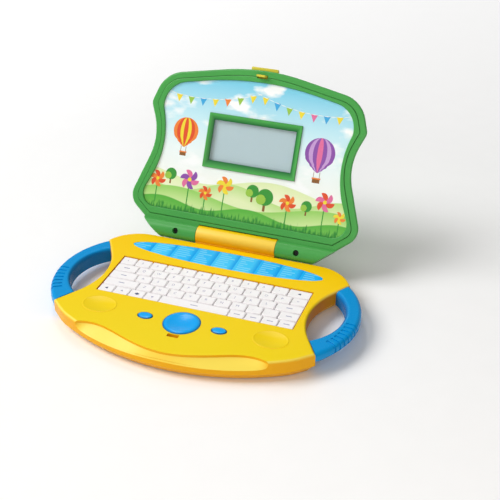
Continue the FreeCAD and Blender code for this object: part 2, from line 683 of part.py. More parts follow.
def button_mat():
    """The small rubber sheet between the board and the pad and buttons."""
    half_x = BUTTON_X + BUTTON_LENGTH / 2 - FLANGE
    dome_top = CEILING_Z - GAP - FLANGE_HEIGHT - BUTTON_TRAVEL - GAP
    sheet_top = BUTTON_BOARD_Z + MAT_SHEET
    sheet = block((-half_x, half_x), (PAD_Y - BUTTON_WIDTH / 2, PAD_Y + BUTTON_WIDTH / 2),
                  (BUTTON_BOARD_Z, sheet_top))
    domes = [block((x - DOME / 2, x + DOME / 2), (PAD_Y - DOME / 2, PAD_Y + DOME / 2), (sheet_top, dome_top))
             for x in (-BUTTON_X, 0, BUTTON_X)]
    return fused([sheet] + domes)


def loudspeaker():
    """A small round loudspeaker over the grille: frame, cone hollow and magnet."""
    x, y = SPEAKER
    rim_top = INNER_FLOOR_Z + SPEAKER_LAYER
    basket_top = rim_top + SPEAKER_LAYER
    rim = post(x, y, SPEAKER_RIM, INNER_FLOOR_Z, rim_top)
    basket = Part.makeCone(*SPEAKER_BASKET, SPEAKER_LAYER, V(x, y, rim_top))
    magnet = post(x, y, SPEAKER_MAGNET, basket_top, basket_top + SPEAKER_LAYER)
    cone = Part.makeCone(*SPEAKER_CONE, SPEAKER_LAYER + WALL / 2, V(x, y, INNER_FLOOR_Z))
    return fused([rim, basket, magnet]).cut(cone)


def hinge_barrel():
    """The yellow middle knuckle on its pedestal behind the deck, bored for the two pins."""
    barrel = along_x(KNUCKLE_RADIUS, (-BARREL_HALF, BARREL_HALF), HINGE_Y, HINGE_Z)
    pedestal = block((-BARREL_HALF, BARREL_HALF), (BACK_Y + GAP, HINGE_Y + KNUCKLE_RADIUS),
                     (PARTING_Z, HINGE_Z))
    corner = block((-BARREL_HALF, BARREL_HALF), (BACK_Y - KNUCKLE_RADIUS, HINGE_Y), (0, HINGE_Z))
    pedestal = pedestal.cut(corner.cut(barrel))
    bore = along_x(PIN_RADIUS, (PIN_INNER, BARREL_HALF), HINGE_Y, HINGE_Z)
    return fused([barrel, pedestal]).cut([bore, flipped(bore)])


def hinge_pins():
    """Two steel pins, held in the barrel and running in the knuckles."""
    pin = along_x(PIN_RADIUS, (PIN_INNER, PIN_OUTER), HINGE_Y, HINGE_Z)
    return Part.makeCompound([pin, flipped(pin)])


# The lid is modelled lying on its back, with x across, y up the lid from the hinge axis and z out
# of its face, and is then turned up to the angle of its stop.
LID_PLAN = rounded_face(mirrored(list(LID_CORNERS) + [LID_FOOT]))


def opened(shape):
    """A piece of the lid, turned up on the hinge."""
    shape.rotate(V(0, 0, 0), ACROSS, 90 - LID_TILT)
    return moved(shape, 0, HINGE_Y, HINGE_Z)


def rect(half_x, low, high, grow=0.0):
    """A rectangle about x = 0 on the lid."""
    return rounded_face(mirrored([(half_x + grow, high + grow, 0), (half_x + grow, low - grow, 0)]))


def frame_face(shrink):
    """Outline of the front frame: the lid's, drawn in by the rim, and cut straight above the hinge."""
    above_foot = rect(LID_TOP, FRAME_FOOT, LID_TOP)
    return grown(LID_PLAN, -shrink).common(above_foot).Faces[0]


PANEL_FACE = rounded_face(mirrored(PANEL_CORNERS))


def hook_slot():
    """The space that the latch's hook needs in the lid's upper edge, over its whole travel."""
    low = HOOK_UP - HOOK_THICK / 2 - LATCH_TRAVEL - GAP
    return block((-SLOT_HALF, SLOT_HALF), (low, HOOK_UP + HOOK_THICK / 2 + GAP),
                 (LID_FACE - RIM_DEPTH - RIM_LEDGE - PAST, LID_FACE + PAST))


def knuckles():
    """The two rounded knuckles along the lid's lower edge, cut off in line with its corners."""
    side = LID_CORNERS[-1]
    slope = (side[0] - LID_FOOT[0]) / (side[1] - LID_FOOT[1])
    foot_x = LID_FOOT[0] - slope * (LID_FOOT[1] + KNUCKLE_RADIUS)
    ends = rounded_face(mirrored([side[:2] + (0,), (foot_x, -KNUCKLE_RADIUS, 0)]))
    right = along_x(KNUCKLE_RADIUS, (BARREL_HALF + KNUCKLE_GAP, side[0]), 0, 0)
    right = right.common(prism(ends, -KNUCKLE_RADIUS, KNUCKLE_RADIUS))
    return [right, flipped(right)]


def knuckle_cuts():
    """Pin bores and screw holes of the knuckles."""
    bore = along_x(PIN_RADIUS + PIN_RUN, (BARREL_HALF, PIN_OUTER + GAP), 0, 0)
    hole = post(KNUCKLE_SCREW_X, 0, SCREW_HEAD + GAP, KNUCKLE_SEAT, KNUCKLE_RADIUS + PAST)
    shank = post(KNUCKLE_SCREW_X, 0, SCREW_RADIUS, -KNUCKLE_SHANK, KNUCKLE_SEAT)
    right = [bore, hole, shank]
    return right + [flipped(shape) for shape in right]


def shroud(half_x):
    """The curved wall of the lid's notch, close round the back of the barrel."""
    outer = NOTCH_HEIGHT + SHROUD
    ring = along_x(outer, (-half_x, half_x), 0, 0).cut(along_x(NOTCH_HEIGHT, (-half_x, half_x), 0, 0))
    return ring.common(block((-half_x, half_x), (SHROUD_FOOT, outer), (-outer, 0)))


def lid_rear_cover():
    """The green back shell of the lid, with the outer rim seen from the front and the knuckles."""
    front = LID_FACE - RIM_DROP
    side = LID_FACE - LID_SIDE
    back = taper(grown(LID_PLAN, -LID_LEAN), LID_BACK, LID_PLAN, side)
    back = back.makeFillet(LID_BACK_ROUND, edges_at(back, LID_BACK))
    rim = prism(LID_PLAN, side, front)
    rim = rim.makeFillet(RIM_ROUND, edges_at(rim, front))
    shell = fused([back, rim])
    seat = LID_FACE - RIM_DEPTH
    ledge = seat - RIM_LEDGE
    hollow = taper(grown(LID_PLAN, -LID_LEAN - WALL), LID_BACK + WALL, grown(LID_PLAN, -WALL), ledge)
    mouth = prism(frame_face(LID_RIM), seat, LID_FACE)
    throat = prism(frame_face(LID_RIM + RIM_LEDGE), ledge - PAST, seat)
    field = prism(grown(LID_PLAN, -LID_LEAN - FIELD_INSET), LID_BACK - PAST, LID_BACK + FIELD_DEPTH)
    shell = fused([shell.cut([hollow, mouth, throat, field])] + knuckles())
    notch_half = BARREL_HALF + KNUCKLE_GAP
    cuts = knuckle_cuts() + [hook_slot()]
    cuts.append(block((-notch_half, notch_half), (-2 * KNUCKLE_RADIUS, NOTCH_HEIGHT),
                      (LID_BACK - PAST, KNUCKLE_RADIUS + PAST)))
    bar_half = LATCH_HALF + GAP
    cuts.append(block((-bar_half, bar_half), (LATCH_FOOT, LID_TOP + LATCH_PROUD),
                      (LATCH_FRONT - LATCH_BAR - GAP, seat)))
    plate_half = LATCH_HALF + FLANGE + GAP
    cuts.append(block((-plate_half, plate_half), (LATCH_FOOT - LATCH_TRAVEL - GAP, LATCH_SHOULDER + GAP),
                      (ledge - PAST, seat)))
    shell = shell.cut(cuts)
    wall = block((-notch_half, notch_half), (NOTCH_HEIGHT, NOTCH_HEIGHT + WALL), (LID_BACK + WALL, seat))
    return fused([shell, wall, shroud(notch_half)])


def lid_front_frame():
    """The green front frame: inner rim, floor of the picture recess and the screen's opening."""
    plate = prism(frame_face(LID_RIM + RIM_GROOVE), LID_FACE - RIM_DEPTH, LID_FACE)
    plate = plate.cut(prism(PANEL_FACE, LID_FACE - PANEL_RECESS, LID_FACE + PAST))
    plate = plate.makeFillet(FRAME_ROUND, edges_at(plate, LID_FACE))
    opening = prism(rect(*SCREEN, SCREEN_LAP / 2), LID_FACE - RIM_DEPTH - PAST, LID_FACE)
    return plate.cut([opening, hook_slot()])


def picture_panel():
    """The printed sheet in the recess, cut out round the screen's bezel."""
    floor = LID_FACE - PANEL_RECESS
    sheet = prism(grown(PANEL_FACE, -GAP / 2), floor, floor + PANEL)
    return sheet.cut(prism(rect(*BEZEL, GAP / 2), floor - PAST, LID_FACE))


def screen_bezel():
    """The raised green frame round the screen, bevelled inwards."""
    floor = LID_FACE - PANEL_RECESS
    top = floor + BEZEL_PROUD
    ring = prism(rect(*BEZEL), floor, top)
    ring = ring.makeChamfer(BEZEL_CHAMFER, edges_at(ring, top))
    return ring.cut(taper(rect(*SCREEN), floor, rect(*SCREEN, BEZEL_LEAN), top))


def screen_window():
    """The clear window behind the frame's opening."""
    back = LID_FACE - RIM_DEPTH
    return prism(rect(*SCREEN, SCREEN_LAP), back - WINDOW, back)


def display_panel():
    """The liquid-crystal display behind the window."""
    front = LID_FACE - RIM_DEPTH - WINDOW
    return prism(rect(*SCREEN, SCREEN_LAP), front - DISPLAY, front)


def display_board():
    """The circuit board that carries the display."""
    front = LID_FACE - RIM_DEPTH - WINDOW - DISPLAY
    return prism(rect(*SCREEN, 2 * SCREEN_LAP), front - BOARD, front)


def knuckle_screws():
    """The two screws that close the knuckles, seen in their holes from the front."""
    head = post(KNUCKLE_SCREW_X, 0, SCREW_HEAD, KNUCKLE_SEAT, KNUCKLE_SEAT + SCREW_HEAD_DEPTH)
    shank = post(KNUCKLE_SCREW_X, 0, SCREW_RADIUS, -KNUCKLE_SHANK, KNUCKLE_SEAT)
    right = head.fuse(shank)
    return Part.makeCompound([right, flipped(right)])


def lid_latch():
    """The yellow latch: a push bar on the lid's edge and a hook that reaches out of its rim."""
    tip = LID_TOP + LATCH_PROUD
    bar = block((-LATCH_HALF, LATCH_HALF), (LATCH_SHOULDER - WALL, tip),
                (LATCH_FRONT - LATCH_BAR, LATCH_FRONT))
    bar = bar.makeFillet(LATCH_ROUND, [e for e in bar.Edges if e.BoundBox.YMin > tip - TINY])
    plate_back = LATCH_FRONT - LATCH_PLATE
    plate = block((-LATCH_HALF - FLANGE, LATCH_HALF + FLANGE), (LATCH_FOOT, LATCH_SHOULDER),
                  (plate_back, LATCH_FRONT))
    hook = block((-HOOK_HALF, HOOK_HALF), (HOOK_UP - HOOK_THICK / 2, HOOK_UP + HOOK_THICK / 2),
                 (plate_back, LID_FACE + HOOK_REACH))
    return fused([bar, plate, hook])


def space_place():
    """The space bar's place in the bottom row."""
    return max(key_places()[-1], key=lambda place: place[2])


NODES = {
    "base_top_cover": base_top_cover(),
    "base_bottom_cover": base_bottom_cover(),
    "handle_right_upper": handle_upper(),
    "handle_right_lower": handle_lower(),
    "handle_left_upper": flipped(handle_upper()),
    "handle_left_lower": flipped(handle_lower()),
    "info_strip": info_strip(),
    "key_guide_plate": key_guide_plate(),
    "key_mat": key_mat(),
    "key_board": key_board(),
    "button_board": button_board(),
    "button_mat": button_mat(),
    "loudspeaker": loudspeaker(),
    "battery_door": battery_door(),
    "battery_cells": battery_cells(),
    "battery_contacts": battery_contacts(),
    "base_screws": base_screws(),
    "rubber_feet": rubber_feet(),
    "hinge_barrel": hinge_barrel(),
    "hinge_pins": hinge_pins(),
    "cursor_pad": cursor_pad(),
    "button_right": side_button(1),
    "button_left": side_button(-1),
    "lid_rear_cover": opened(lid_rear_cover()),
    "lid_front_frame": opened(lid_front_frame()),
    "picture_panel": opened(picture_panel()),
    "screen_bezel": opened(screen_bezel()),
    "screen_window": opened(screen_window()),
    "display_panel": opened(display_panel()),
    "display_board": opened(display_board()),
    "knuckle_screws": opened(knuckle_screws()),
    "lid_latch": opened(lid_latch()),
    "space_bar": key(space_place()),
}
for number, row in enumerate(key_places(), 1):
    keys = [key(place) for place in row if place != space_place()]
    NODES["keys_row_%d" % number] = Part.makeCompound(keys)

for name, shape in NODES.items():
    placed = shape.copy()
    placed.translate(V(0, -FRAME_Y, DECK_HEIGHT))
    placed.exportStep("parts/%s.step" % name)
    print(name, placed.isValid(), len(placed.Solids), round(placed.Volume / 1000, 2))
print("hinge axis y", round(HINGE_Y - FRAME_Y, 3), "z", round(HINGE_Z + DECK_HEIGHT, 3))
print("keyboard y", round(-FRAME_Y, 3), "frame y", round(FRAME_Y, 3), "lid top", round(LID_TOP, 3))
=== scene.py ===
import json
import math

import bmesh
import bpy
from mathutils import Matrix, Vector


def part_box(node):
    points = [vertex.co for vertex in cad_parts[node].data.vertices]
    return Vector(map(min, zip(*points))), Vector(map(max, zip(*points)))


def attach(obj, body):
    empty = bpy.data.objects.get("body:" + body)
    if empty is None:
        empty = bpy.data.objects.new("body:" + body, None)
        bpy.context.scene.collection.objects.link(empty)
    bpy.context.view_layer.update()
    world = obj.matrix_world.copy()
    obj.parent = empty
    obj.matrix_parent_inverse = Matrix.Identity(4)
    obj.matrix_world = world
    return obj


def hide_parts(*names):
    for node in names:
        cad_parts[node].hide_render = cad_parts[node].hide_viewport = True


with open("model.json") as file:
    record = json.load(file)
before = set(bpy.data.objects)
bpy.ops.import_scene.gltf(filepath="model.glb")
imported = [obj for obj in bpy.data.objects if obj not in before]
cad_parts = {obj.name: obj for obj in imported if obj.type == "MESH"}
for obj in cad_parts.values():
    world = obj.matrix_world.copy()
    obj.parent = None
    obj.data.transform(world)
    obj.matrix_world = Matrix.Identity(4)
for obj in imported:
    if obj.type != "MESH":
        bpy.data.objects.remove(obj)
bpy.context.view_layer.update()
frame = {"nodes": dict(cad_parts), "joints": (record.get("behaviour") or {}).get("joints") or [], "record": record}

# A child's toy laptop, standing open on a pale floor: yellow base, blue handles, white keys, and a
# green lid with a printed sheet round a small grey screen. Lengths are given in millimetres, and
# MM turns them into the frame's metres.

MM = 0.001
JOINTS = {joint["name"]: joint for joint in frame["joints"]}
BODY_OF = {node: body for body, nodes in frame["record"]["behaviour"]["bodies"].items()
           for node in nodes}
SLOT_OF = {part["node"]: part["material_slot"] for part in frame["record"]["subparts"]}

# Places read from the frame: deck height, keyboard middle, hinge and lid slope
DECK_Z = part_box("base_top_cover")[1].z
KEYS_Y = sum(corner.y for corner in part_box("key_guide_plate")) / 2
HINGE = Vector(JOINTS["lid_hinge"]["pos_m"])
LID_UP = Vector(JOINTS["latch_slide"]["axis"])
LID_OUT = Vector((0, -LID_UP.z, LID_UP.y))
LID_TURN = math.atan2(LID_UP.z, LID_UP.y)
SHEET_FACE = -0.16       # face of the printed sheet, in front of the hinge axis
LAYER = 0.03             # thickness of a layer of ink


def on_deck(x, y, z=0.0):
    """A place given from the middle of the keyboard, at the height of the deck."""
    return Vector((x * MM, KEYS_Y + y * MM, DECK_Z + z * MM))


# Material nodes

SHARE, FIRST, SECOND = 0, 6, 7   # sockets of a colour Mix: the second's share, and both colours


def linear(hex_colour):
    """An sRGB hex colour as linear RGBA."""
    channels = [int(hex_colour[i:i + 2], 16) / 255 for i in (1, 3, 5)]
    return tuple(c / 12.92 if c <= 0.04045 else ((c + 0.055) / 1.055) ** 2.4
                 for c in channels) + (1.0,)


def add(tree, kind, inputs=None, **settings):
    """Adds a node with its settings. An input is a value, an output or a node, whose live output
    is then used."""
    made = tree.nodes.new("ShaderNode" + kind)
    for name, value in settings.items():
        setattr(made, name, value)
    for name, value in (inputs or {}).items():
        if isinstance(value, bpy.types.Node):
            value = next(output for output in value.outputs if output.enabled)
        if isinstance(value, bpy.types.NodeSocket):
            tree.links.new(value, made.inputs[name])
        else:
            made.inputs[name].default_value = value
    return made


def new_material(name):
    """An empty node material, its tree and the Object coordinates."""
    material = bpy.data.materials.new(name)
    material.use_nodes = True
    tree = material.node_tree
    tree.nodes.clear()
    return material, tree, add(tree, "TexCoord").outputs["Object"]


def stops(ramp, colours):
    """Sets a colour ramp's stops from (place, hex colour) pairs."""
    elements = ramp.color_ramp.elements
    while len(elements) < len(colours):
        elements.new(1.0)
    for element, (place, colour) in zip(elements, colours):
        element.position = place
        element.color = linear(colour)
    return ramp


def on_lid_plane(tree, place):
    """Object coordinates turned into the lid's plane, in millimetres: x across, y up, z out."""
    turned = Matrix.Rotation(-LID_TURN, 3, "X")
    return add(tree, "Mapping", {"Vector": place, "Location": -(turned @ HINGE) / MM,
                                 "Rotation": (-LID_TURN, 0, 0), "Scale": (1 / MM, 1 / MM, 1 / MM)})


# Moulded surfaces

CLOUD = 45.0             # slow drift of the colour
GRAIN = 0.9              # spark-eroded grain of the mould, coarser than life so that it shows
GRAIN_DEPTH = 0.05
GLOSS_SPREAD = 0.05      # roughness on either side of its middle value
FLANK_SHADE_SPAN = (0.985, 0.88)   # height of the normal where the painted shade of a flank starts and is full
INSIDE_SHADE_SPAN = (-0.03, -0.09)         # metres across times the normal's x, likewise for the painted shade of an inside
SLOPE_SHADE_SPAN = (1.3, -0.2)     # level on the lid, likewise for the painted shade of the slope down to the display
DECK_LIGHT_SPAN = (-0.12, 0.03)       # metres along the deck over which painted light turns the yellow from lemon to warm
WALL_SHADE_SPAN = (0.1, 0.8)        # height of the normal on a wall, in full painted shade, and on the deck
SCOOP_SHEEN_SPAN = (-0.06, -0.35)     # normal's y where the painted sheen, a paler yellow, starts and is full
# share of the painted sheen where it is full
SCOOP_SHEEN_SHARE = 0.24
GAP_SHADE_SPAN = (0.7, 0.95)  # normal's x where the deeper painted shade beside the handles starts and is full


def moulded(name, colour, shade, roughness, grain, specular=0.25, flank_shade=None, inner=None, slope_shade=None):
    """A moulded surface: an even colour, a soft gloss and the mould's fine grain. Painted shade can be laid in
    three places, each in its own darker colour: on what stands upright, as a button's sides; on what faces the
    middle of the toy, as the inside of a handle; and on the slope down to the display."""
    material, tree, place = new_material(name)
    facing = add(tree, "SeparateXYZ", {"Vector": add(tree, "TexCoord").outputs["Normal"]})
    cloud = add(tree, "TexNoise", {"Vector": place, "Scale": 1 / (CLOUD * MM), "Detail": 2.0})
    fine = add(tree, "TexNoise", {"Vector": place, "Scale": 1 / (GRAIN * MM), "Detail": 3.0})
    tone = add(tree, "Mix", {SHARE: cloud, FIRST: linear(colour), SECOND: linear(shade)},
               data_type="RGBA")
    # Painted shade: darker colours mixed over the tone on flanks, insides and the frame's slope
    painted_shades = []
    if flank_shade:
        painted_shades.append((flank_shade, facing.outputs["Z"], FLANK_SHADE_SPAN))
    if inner:
        along = add(tree, "SeparateXYZ", {"Vector": place})
        inward = add(tree, "Math", {0: along.outputs["X"], 1: facing.outputs["X"]},
                     operation="MULTIPLY")
        painted_shades.append((inner, inward, INSIDE_SHADE_SPAN))
    if slope_shade:
        out = add(tree, "SeparateXYZ", {"Vector": on_lid_plane(tree, place)})
        painted_shades.append((slope_shade, out.outputs["Z"], SLOPE_SHADE_SPAN))
    for shade_tone, value, (start, full) in painted_shades:
        share = add(tree, "MapRange", {"Value": value, "From Min": start, "From Max": full})
        tone = add(tree, "Mix", {SHARE: share, FIRST: tone, SECOND: linear(shade_tone)}, data_type="RGBA")
    gloss = add(tree, "MapRange", {"Value": fine, "To Min": roughness - GLOSS_SPREAD,
                                   "To Max": roughness + GLOSS_SPREAD})
    bump = add(tree, "Bump", {"Height": fine, "Strength": grain, "Distance": GRAIN_DEPTH * MM})
    shader = add(tree, "BsdfPrincipled", {"Base Color": tone, "Roughness": gloss, "Normal": bump,
                                          "Specular IOR Level": specular})
    add(tree, "OutputMaterial", {"Surface": shader})
    return material


def yellow_abs():
    """The base's yellow ABS, with painted light and shade: lemon on the deck's front and warmer to the back, as
    light falls along it; a painted sheen that makes it paler where it leans to the front, as the floor of the
    scoop does; and painted shade that deepens upright walls to orange, most so beside the handles."""
    material, tree, place = new_material("yellow moulded ABS")
    along = add(tree, "SeparateXYZ", {"Vector": place})
    facing = add(tree, "SeparateXYZ", {"Vector": add(tree, "TexCoord").outputs["Normal"]})
    aside = add(tree, "Math", {0: facing.outputs["X"]}, operation="ABSOLUTE")
    # Painted light and shade: the deck warms to the back, the scoop's slope takes a paler sheen
    back, level, lean, gap_shade = (
        add(tree, "MapRange", {"Value": value, "From Min": start, "From Max": end, "To Max": most})
        for value, (start, end), most in (
            (along.outputs["Y"], DECK_LIGHT_SPAN, 1.0), (facing.outputs["Z"], WALL_SHADE_SPAN, 1.0),
            (facing.outputs["Y"], SCOOP_SHEEN_SPAN, SCOOP_SHEEN_SHARE), (aside, GAP_SHADE_SPAN, 1.0)))
    deck = add(tree, "Mix", {SHARE: back, FIRST: linear("#F0D30C"), SECOND: linear("#F9CA00")},
               data_type="RGBA")
    pale = add(tree, "Mix", {SHARE: lean, FIRST: deck, SECOND: linear("#FFF0A8")}, data_type="RGBA")
    # Painted shade: orange on upright walls, deeper still beside the handles
    wall_shade = add(tree, "Mix", {SHARE: gap_shade, FIRST: linear("#E9A80A"), SECOND: linear("#CC7A18")},
               data_type="RGBA")
    tone = add(tree, "Mix", {SHARE: level, FIRST: wall_shade, SECOND: pale}, data_type="RGBA")
    fine = add(tree, "TexNoise", {"Vector": place, "Scale": 1 / (GRAIN * MM), "Detail": 3.0})
    gloss = add(tree, "MapRange", {"Value": fine, "To Min": 0.3, "To Max": 0.42})
    bump = add(tree, "Bump", {"Height": fine, "Strength": 0.12, "Distance": GRAIN_DEPTH * MM})
    shader = add(tree, "BsdfPrincipled", {"Base Color": tone, "Roughness": gloss, "Normal": bump,
                                          "Specular IOR Level": 0.17})
    add(tree, "OutputMaterial", {"Surface": shader})
    return material


# Printed surfaces and the display

INK_MOTTLE = 1.5         # mottle of the print, coarser than life
INK_SHADE = 0.86         # darkest of the mottle, as a share of the ink's colour
SHEET_FOOT = 20.0        # lower and upper edge of the printed sky, up the lid
SHEET_HEAD = 164.0
SKY = ((0.25, "#F3F7F2"), (0.45, "#E9F6F7"), (0.68, "#C4EAF4"), (0.95, "#7FCFEA"))
PUFF = 38.0              # size of a cloud
PUFF_FLATNESS = 1.9
PUFF_EDGE = (0.54, 0.64)         # noise where a cloud starts and is full
# Hills from back to front: crest height, wave height, wave length, phase, crest and foot colours
HILLS = (
    (58.0, 6.0, 150.0, 0.4, "#DDEDB4", "#EEF3CE"),
    (49.0, 7.0, 118.0, 2.3, "#B9DE86", "#E2EFBC"),
    (39.0, 6.0, 165.0, 4.4, "#93CF62", "#C9E69A"),
    (29.5, 4.0, 96.0, 1.2, "#55B13F", "#7CC355"),
)
HILL_EDGE = 0.4          # half width of a crest's soft edge
HILL_FADE = 14.0         # from the crest's colour to the foot's
BLADE = 2.4              # width of a blade of grass
BLADE_SLIMNESS = 0.22
GRASS_FOOT = 13.0
GRASS_REACH = 26.0       # from the shortest blades to the longest
GRASS_FADE = 5.0
COLUMN = 22.5            # width of a column on the strip
LINE = 3.6               # from line to line
BAR_LENGTHS = (0.35, 0.9)        # shares of a column
BAR_START = 0.12
BAR_HEIGHT = 0.52        # share of a line
BAR_STRENGTH = 0.6
COLUMN_FADE = 0.75       # share of a column after which it fades to a deeper blue
DOT = 1.2                # dots of the display, coarser than life
DOT_GAP = 0.09
HAZE = 8.0               # patches of haze on the window


def ink(name, colour):
    """Offset ink under varnish: flat colour with the faint mottle of the print."""
    material, tree, place = new_material(name)
    mottle = add(tree, "TexNoise", {"Vector": place, "Scale": 1 / (INK_MOTTLE * MM), "Detail": 2.0})
    shade = tuple(channel * INK_SHADE for channel in linear(colour)[:3]) + (1.0,)
    tone = add(tree, "Mix", {SHARE: mottle, FIRST: linear(colour), SECOND: shade}, data_type="RGBA")
    shader = add(tree, "BsdfPrincipled", {"Base Color": tone, "Roughness": 0.32})
    add(tree, "OutputMaterial", {"Surface": shader})
    return material


def landscape_print():
    """The lid's varnished sheet: a printed sky with soft clouds over meadows, hills and grass."""
    material, tree, place = new_material("landscape print on varnished sheet")
    plane = on_lid_plane(tree, place)
    axes = add(tree, "SeparateXYZ", {"Vector": plane})
    height = add(tree, "MapRange", {"Value": axes.outputs["Y"], "From Min": SHEET_FOOT,
                                    "From Max": SHEET_HEAD})
    sky = stops(add(tree, "ValToRGB", {"Fac": height}), SKY)
    stretched = add(tree, "Mapping", {"Vector": plane, "Scale": (1.0, PUFF_FLATNESS, 1.0)})
    puffs = add(tree, "TexNoise", {"Vector": stretched, "Scale": 1 / PUFF, "Detail": 4.0,
                                   "Roughness": 0.45})
    cover = add(tree, "MapRange", {"Value": puffs, "From Min": PUFF_EDGE[0],
                                   "From Max": PUFF_EDGE[1]})
    layer = add(tree, "Mix", {SHARE: cover, FIRST: sky, SECOND: linear("#F7FBFC")},
                data_type="RGBA")
    for crest, swell, length, phase, top_colour, foot_colour in HILLS:
        angle = add(tree, "Math", {0: axes.outputs["X"], 1: 2 * math.pi / length, 2: phase},
                    operation="MULTIPLY_ADD")
        sine = add(tree, "Math", {0: angle}, operation="SINE")
        wave = add(tree, "Math", {0: sine, 1: swell, 2: crest}, operation="MULTIPLY_ADD")
        below = add(tree, "Math", {0: wave, 1: axes.outputs["Y"]}, operation="SUBTRACT")
        inside = add(tree, "MapRange", {"Value": below, "From Min": -HILL_EDGE,
                                        "From Max": HILL_EDGE})
        depth = add(tree, "MapRange", {"Value": below, "From Max": HILL_FADE})
        tone = add(tree, "Mix", {SHARE: depth, FIRST: linear(top_colour),
                                 SECOND: linear(foot_colour)}, data_type="RGBA")
        layer = add(tree, "Mix", {SHARE: inside, FIRST: layer, SECOND: tone}, data_type="RGBA")
    upright = add(tree, "Mapping", {"Vector": plane, "Scale": (1.0, BLADE_SLIMNESS, 1.0)})
    blades = add(tree, "TexNoise", {"Vector": upright, "Scale": 1 / BLADE, "Detail": 2.0})
    edge = add(tree, "Math", {0: blades, 1: GRASS_REACH, 2: GRASS_FOOT}, operation="MULTIPLY_ADD")
    below = add(tree, "Math", {0: edge, 1: axes.outputs["Y"]}, operation="SUBTRACT")
    grass = add(tree, "MapRange", {"Value": below, "From Max": GRASS_FADE})
    layer = add(tree, "Mix", {SHARE: grass, FIRST: layer, SECOND: linear("#2F8A35")},
                data_type="RGBA")
    shader = add(tree, "BsdfPrincipled", {"Base Color": layer, "Roughness": 0.28,
                                          "Coat Weight": 0.3, "Coat Roughness": 0.12})
    add(tree, "OutputMaterial", {"Surface": shader})
    return material


def strip_print():
    """The printed strip behind the keys: bright blue ink with columns of short pale bars."""
    material, tree, place = new_material("blue printed strip")
    flat = add(tree, "Mapping", {"Vector": place, "Location": (0, -KEYS_Y / MM, 0),
                                 "Scale": (1 / MM, 1 / MM, 1 / MM)})
    axes = add(tree, "SeparateXYZ", {"Vector": flat})
    column = add(tree, "Math", {0: axes.outputs["X"], 1: 1 / COLUMN, 2: 0.5},
                 operation="MULTIPLY_ADD")
    line = add(tree, "Math", {0: axes.outputs["Y"], 1: 1 / LINE}, operation="MULTIPLY")
    across, within, column_number, line_number = (
        add(tree, "Math", {0: value}, operation=operation)
        for operation in ("FRACT", "FLOOR") for value in (column, line))
    cell = add(tree, "CombineXYZ", {"X": column_number, "Y": line_number})
    chance = add(tree, "TexWhiteNoise", {"Vector": cell})
    length = add(tree, "MapRange", {"Value": chance, "To Min": BAR_LENGTHS[0],
                                    "To Max": BAR_LENGTHS[1]})
    short = add(tree, "Math", {0: across, 1: length}, operation="LESS_THAN")
    inset = add(tree, "Math", {0: across, 1: BAR_START}, operation="GREATER_THAN")
    thin = add(tree, "Math", {0: within, 1: BAR_HEIGHT}, operation="LESS_THAN")
    between_ends = add(tree, "Math", {0: short, 1: inset}, operation="MULTIPLY")
    bar = add(tree, "Math", {0: between_ends, 1: thin}, operation="MULTIPLY")
    panel = add(tree, "TexWhiteNoise", {"Vector": add(tree, "CombineXYZ", {"X": column_number})})
    plate = add(tree, "Mix", {SHARE: panel, FIRST: linear("#18B4FC"), SECOND: linear("#50D2FF")},
                data_type="RGBA")
    fade = add(tree, "MapRange", {"Value": across, "From Min": 1.0, "From Max": COLUMN_FADE})
    ground = add(tree, "Mix", {SHARE: fade, FIRST: linear("#009AEE"), SECOND: plate},
                 data_type="RGBA")
    soft = add(tree, "Math", {0: bar, 1: BAR_STRENGTH}, operation="MULTIPLY")
    tone = add(tree, "Mix", {SHARE: soft, FIRST: ground, SECOND: linear("#86DAFF")},
               data_type="RGBA")
    shader = add(tree, "BsdfPrincipled", {"Base Color": tone, "Roughness": 0.35,
                                          "Specular IOR Level": 0.12})
    add(tree, "OutputMaterial", {"Surface": shader})
    return material


def display_glass():
    """A liquid-crystal display, switched off: grey-blue with the faint grid of its dots."""
    material, tree, place = new_material("grey liquid-crystal display")
    dots = add(tree, "TexBrick", {
        "Vector": on_lid_plane(tree, place), "Color1": linear("#B9D1D8"),
        "Color2": linear("#B5CDD5"), "Mortar": linear("#ABC3CB"), "Scale": 1.0,
        "Mortar Size": DOT_GAP, "Brick Width": DOT, "Row Height": DOT}, offset=0.0)
    shader = add(tree, "BsdfPrincipled", {"Base Color": dots, "Roughness": 0.25})
    add(tree, "OutputMaterial", {"Surface": shader})
    return material


def clear_window():
    """Clear polystyrene in front of the display: seen only by its gloss."""
    material, tree, place = new_material("clear window plastic")
    haze = add(tree, "TexNoise", {"Vector": place, "Scale": 1 / (HAZE * MM)})
    gloss = add(tree, "MapRange", {"Value": haze, "To Min": 0.04, "To Max": 0.1})
    shader = add(tree, "BsdfPrincipled", {"Base Color": linear("#EAF2F4"), "Roughness": gloss,
                                          "Alpha": 0.12})
    add(tree, "OutputMaterial", {"Surface": shader})
    return material


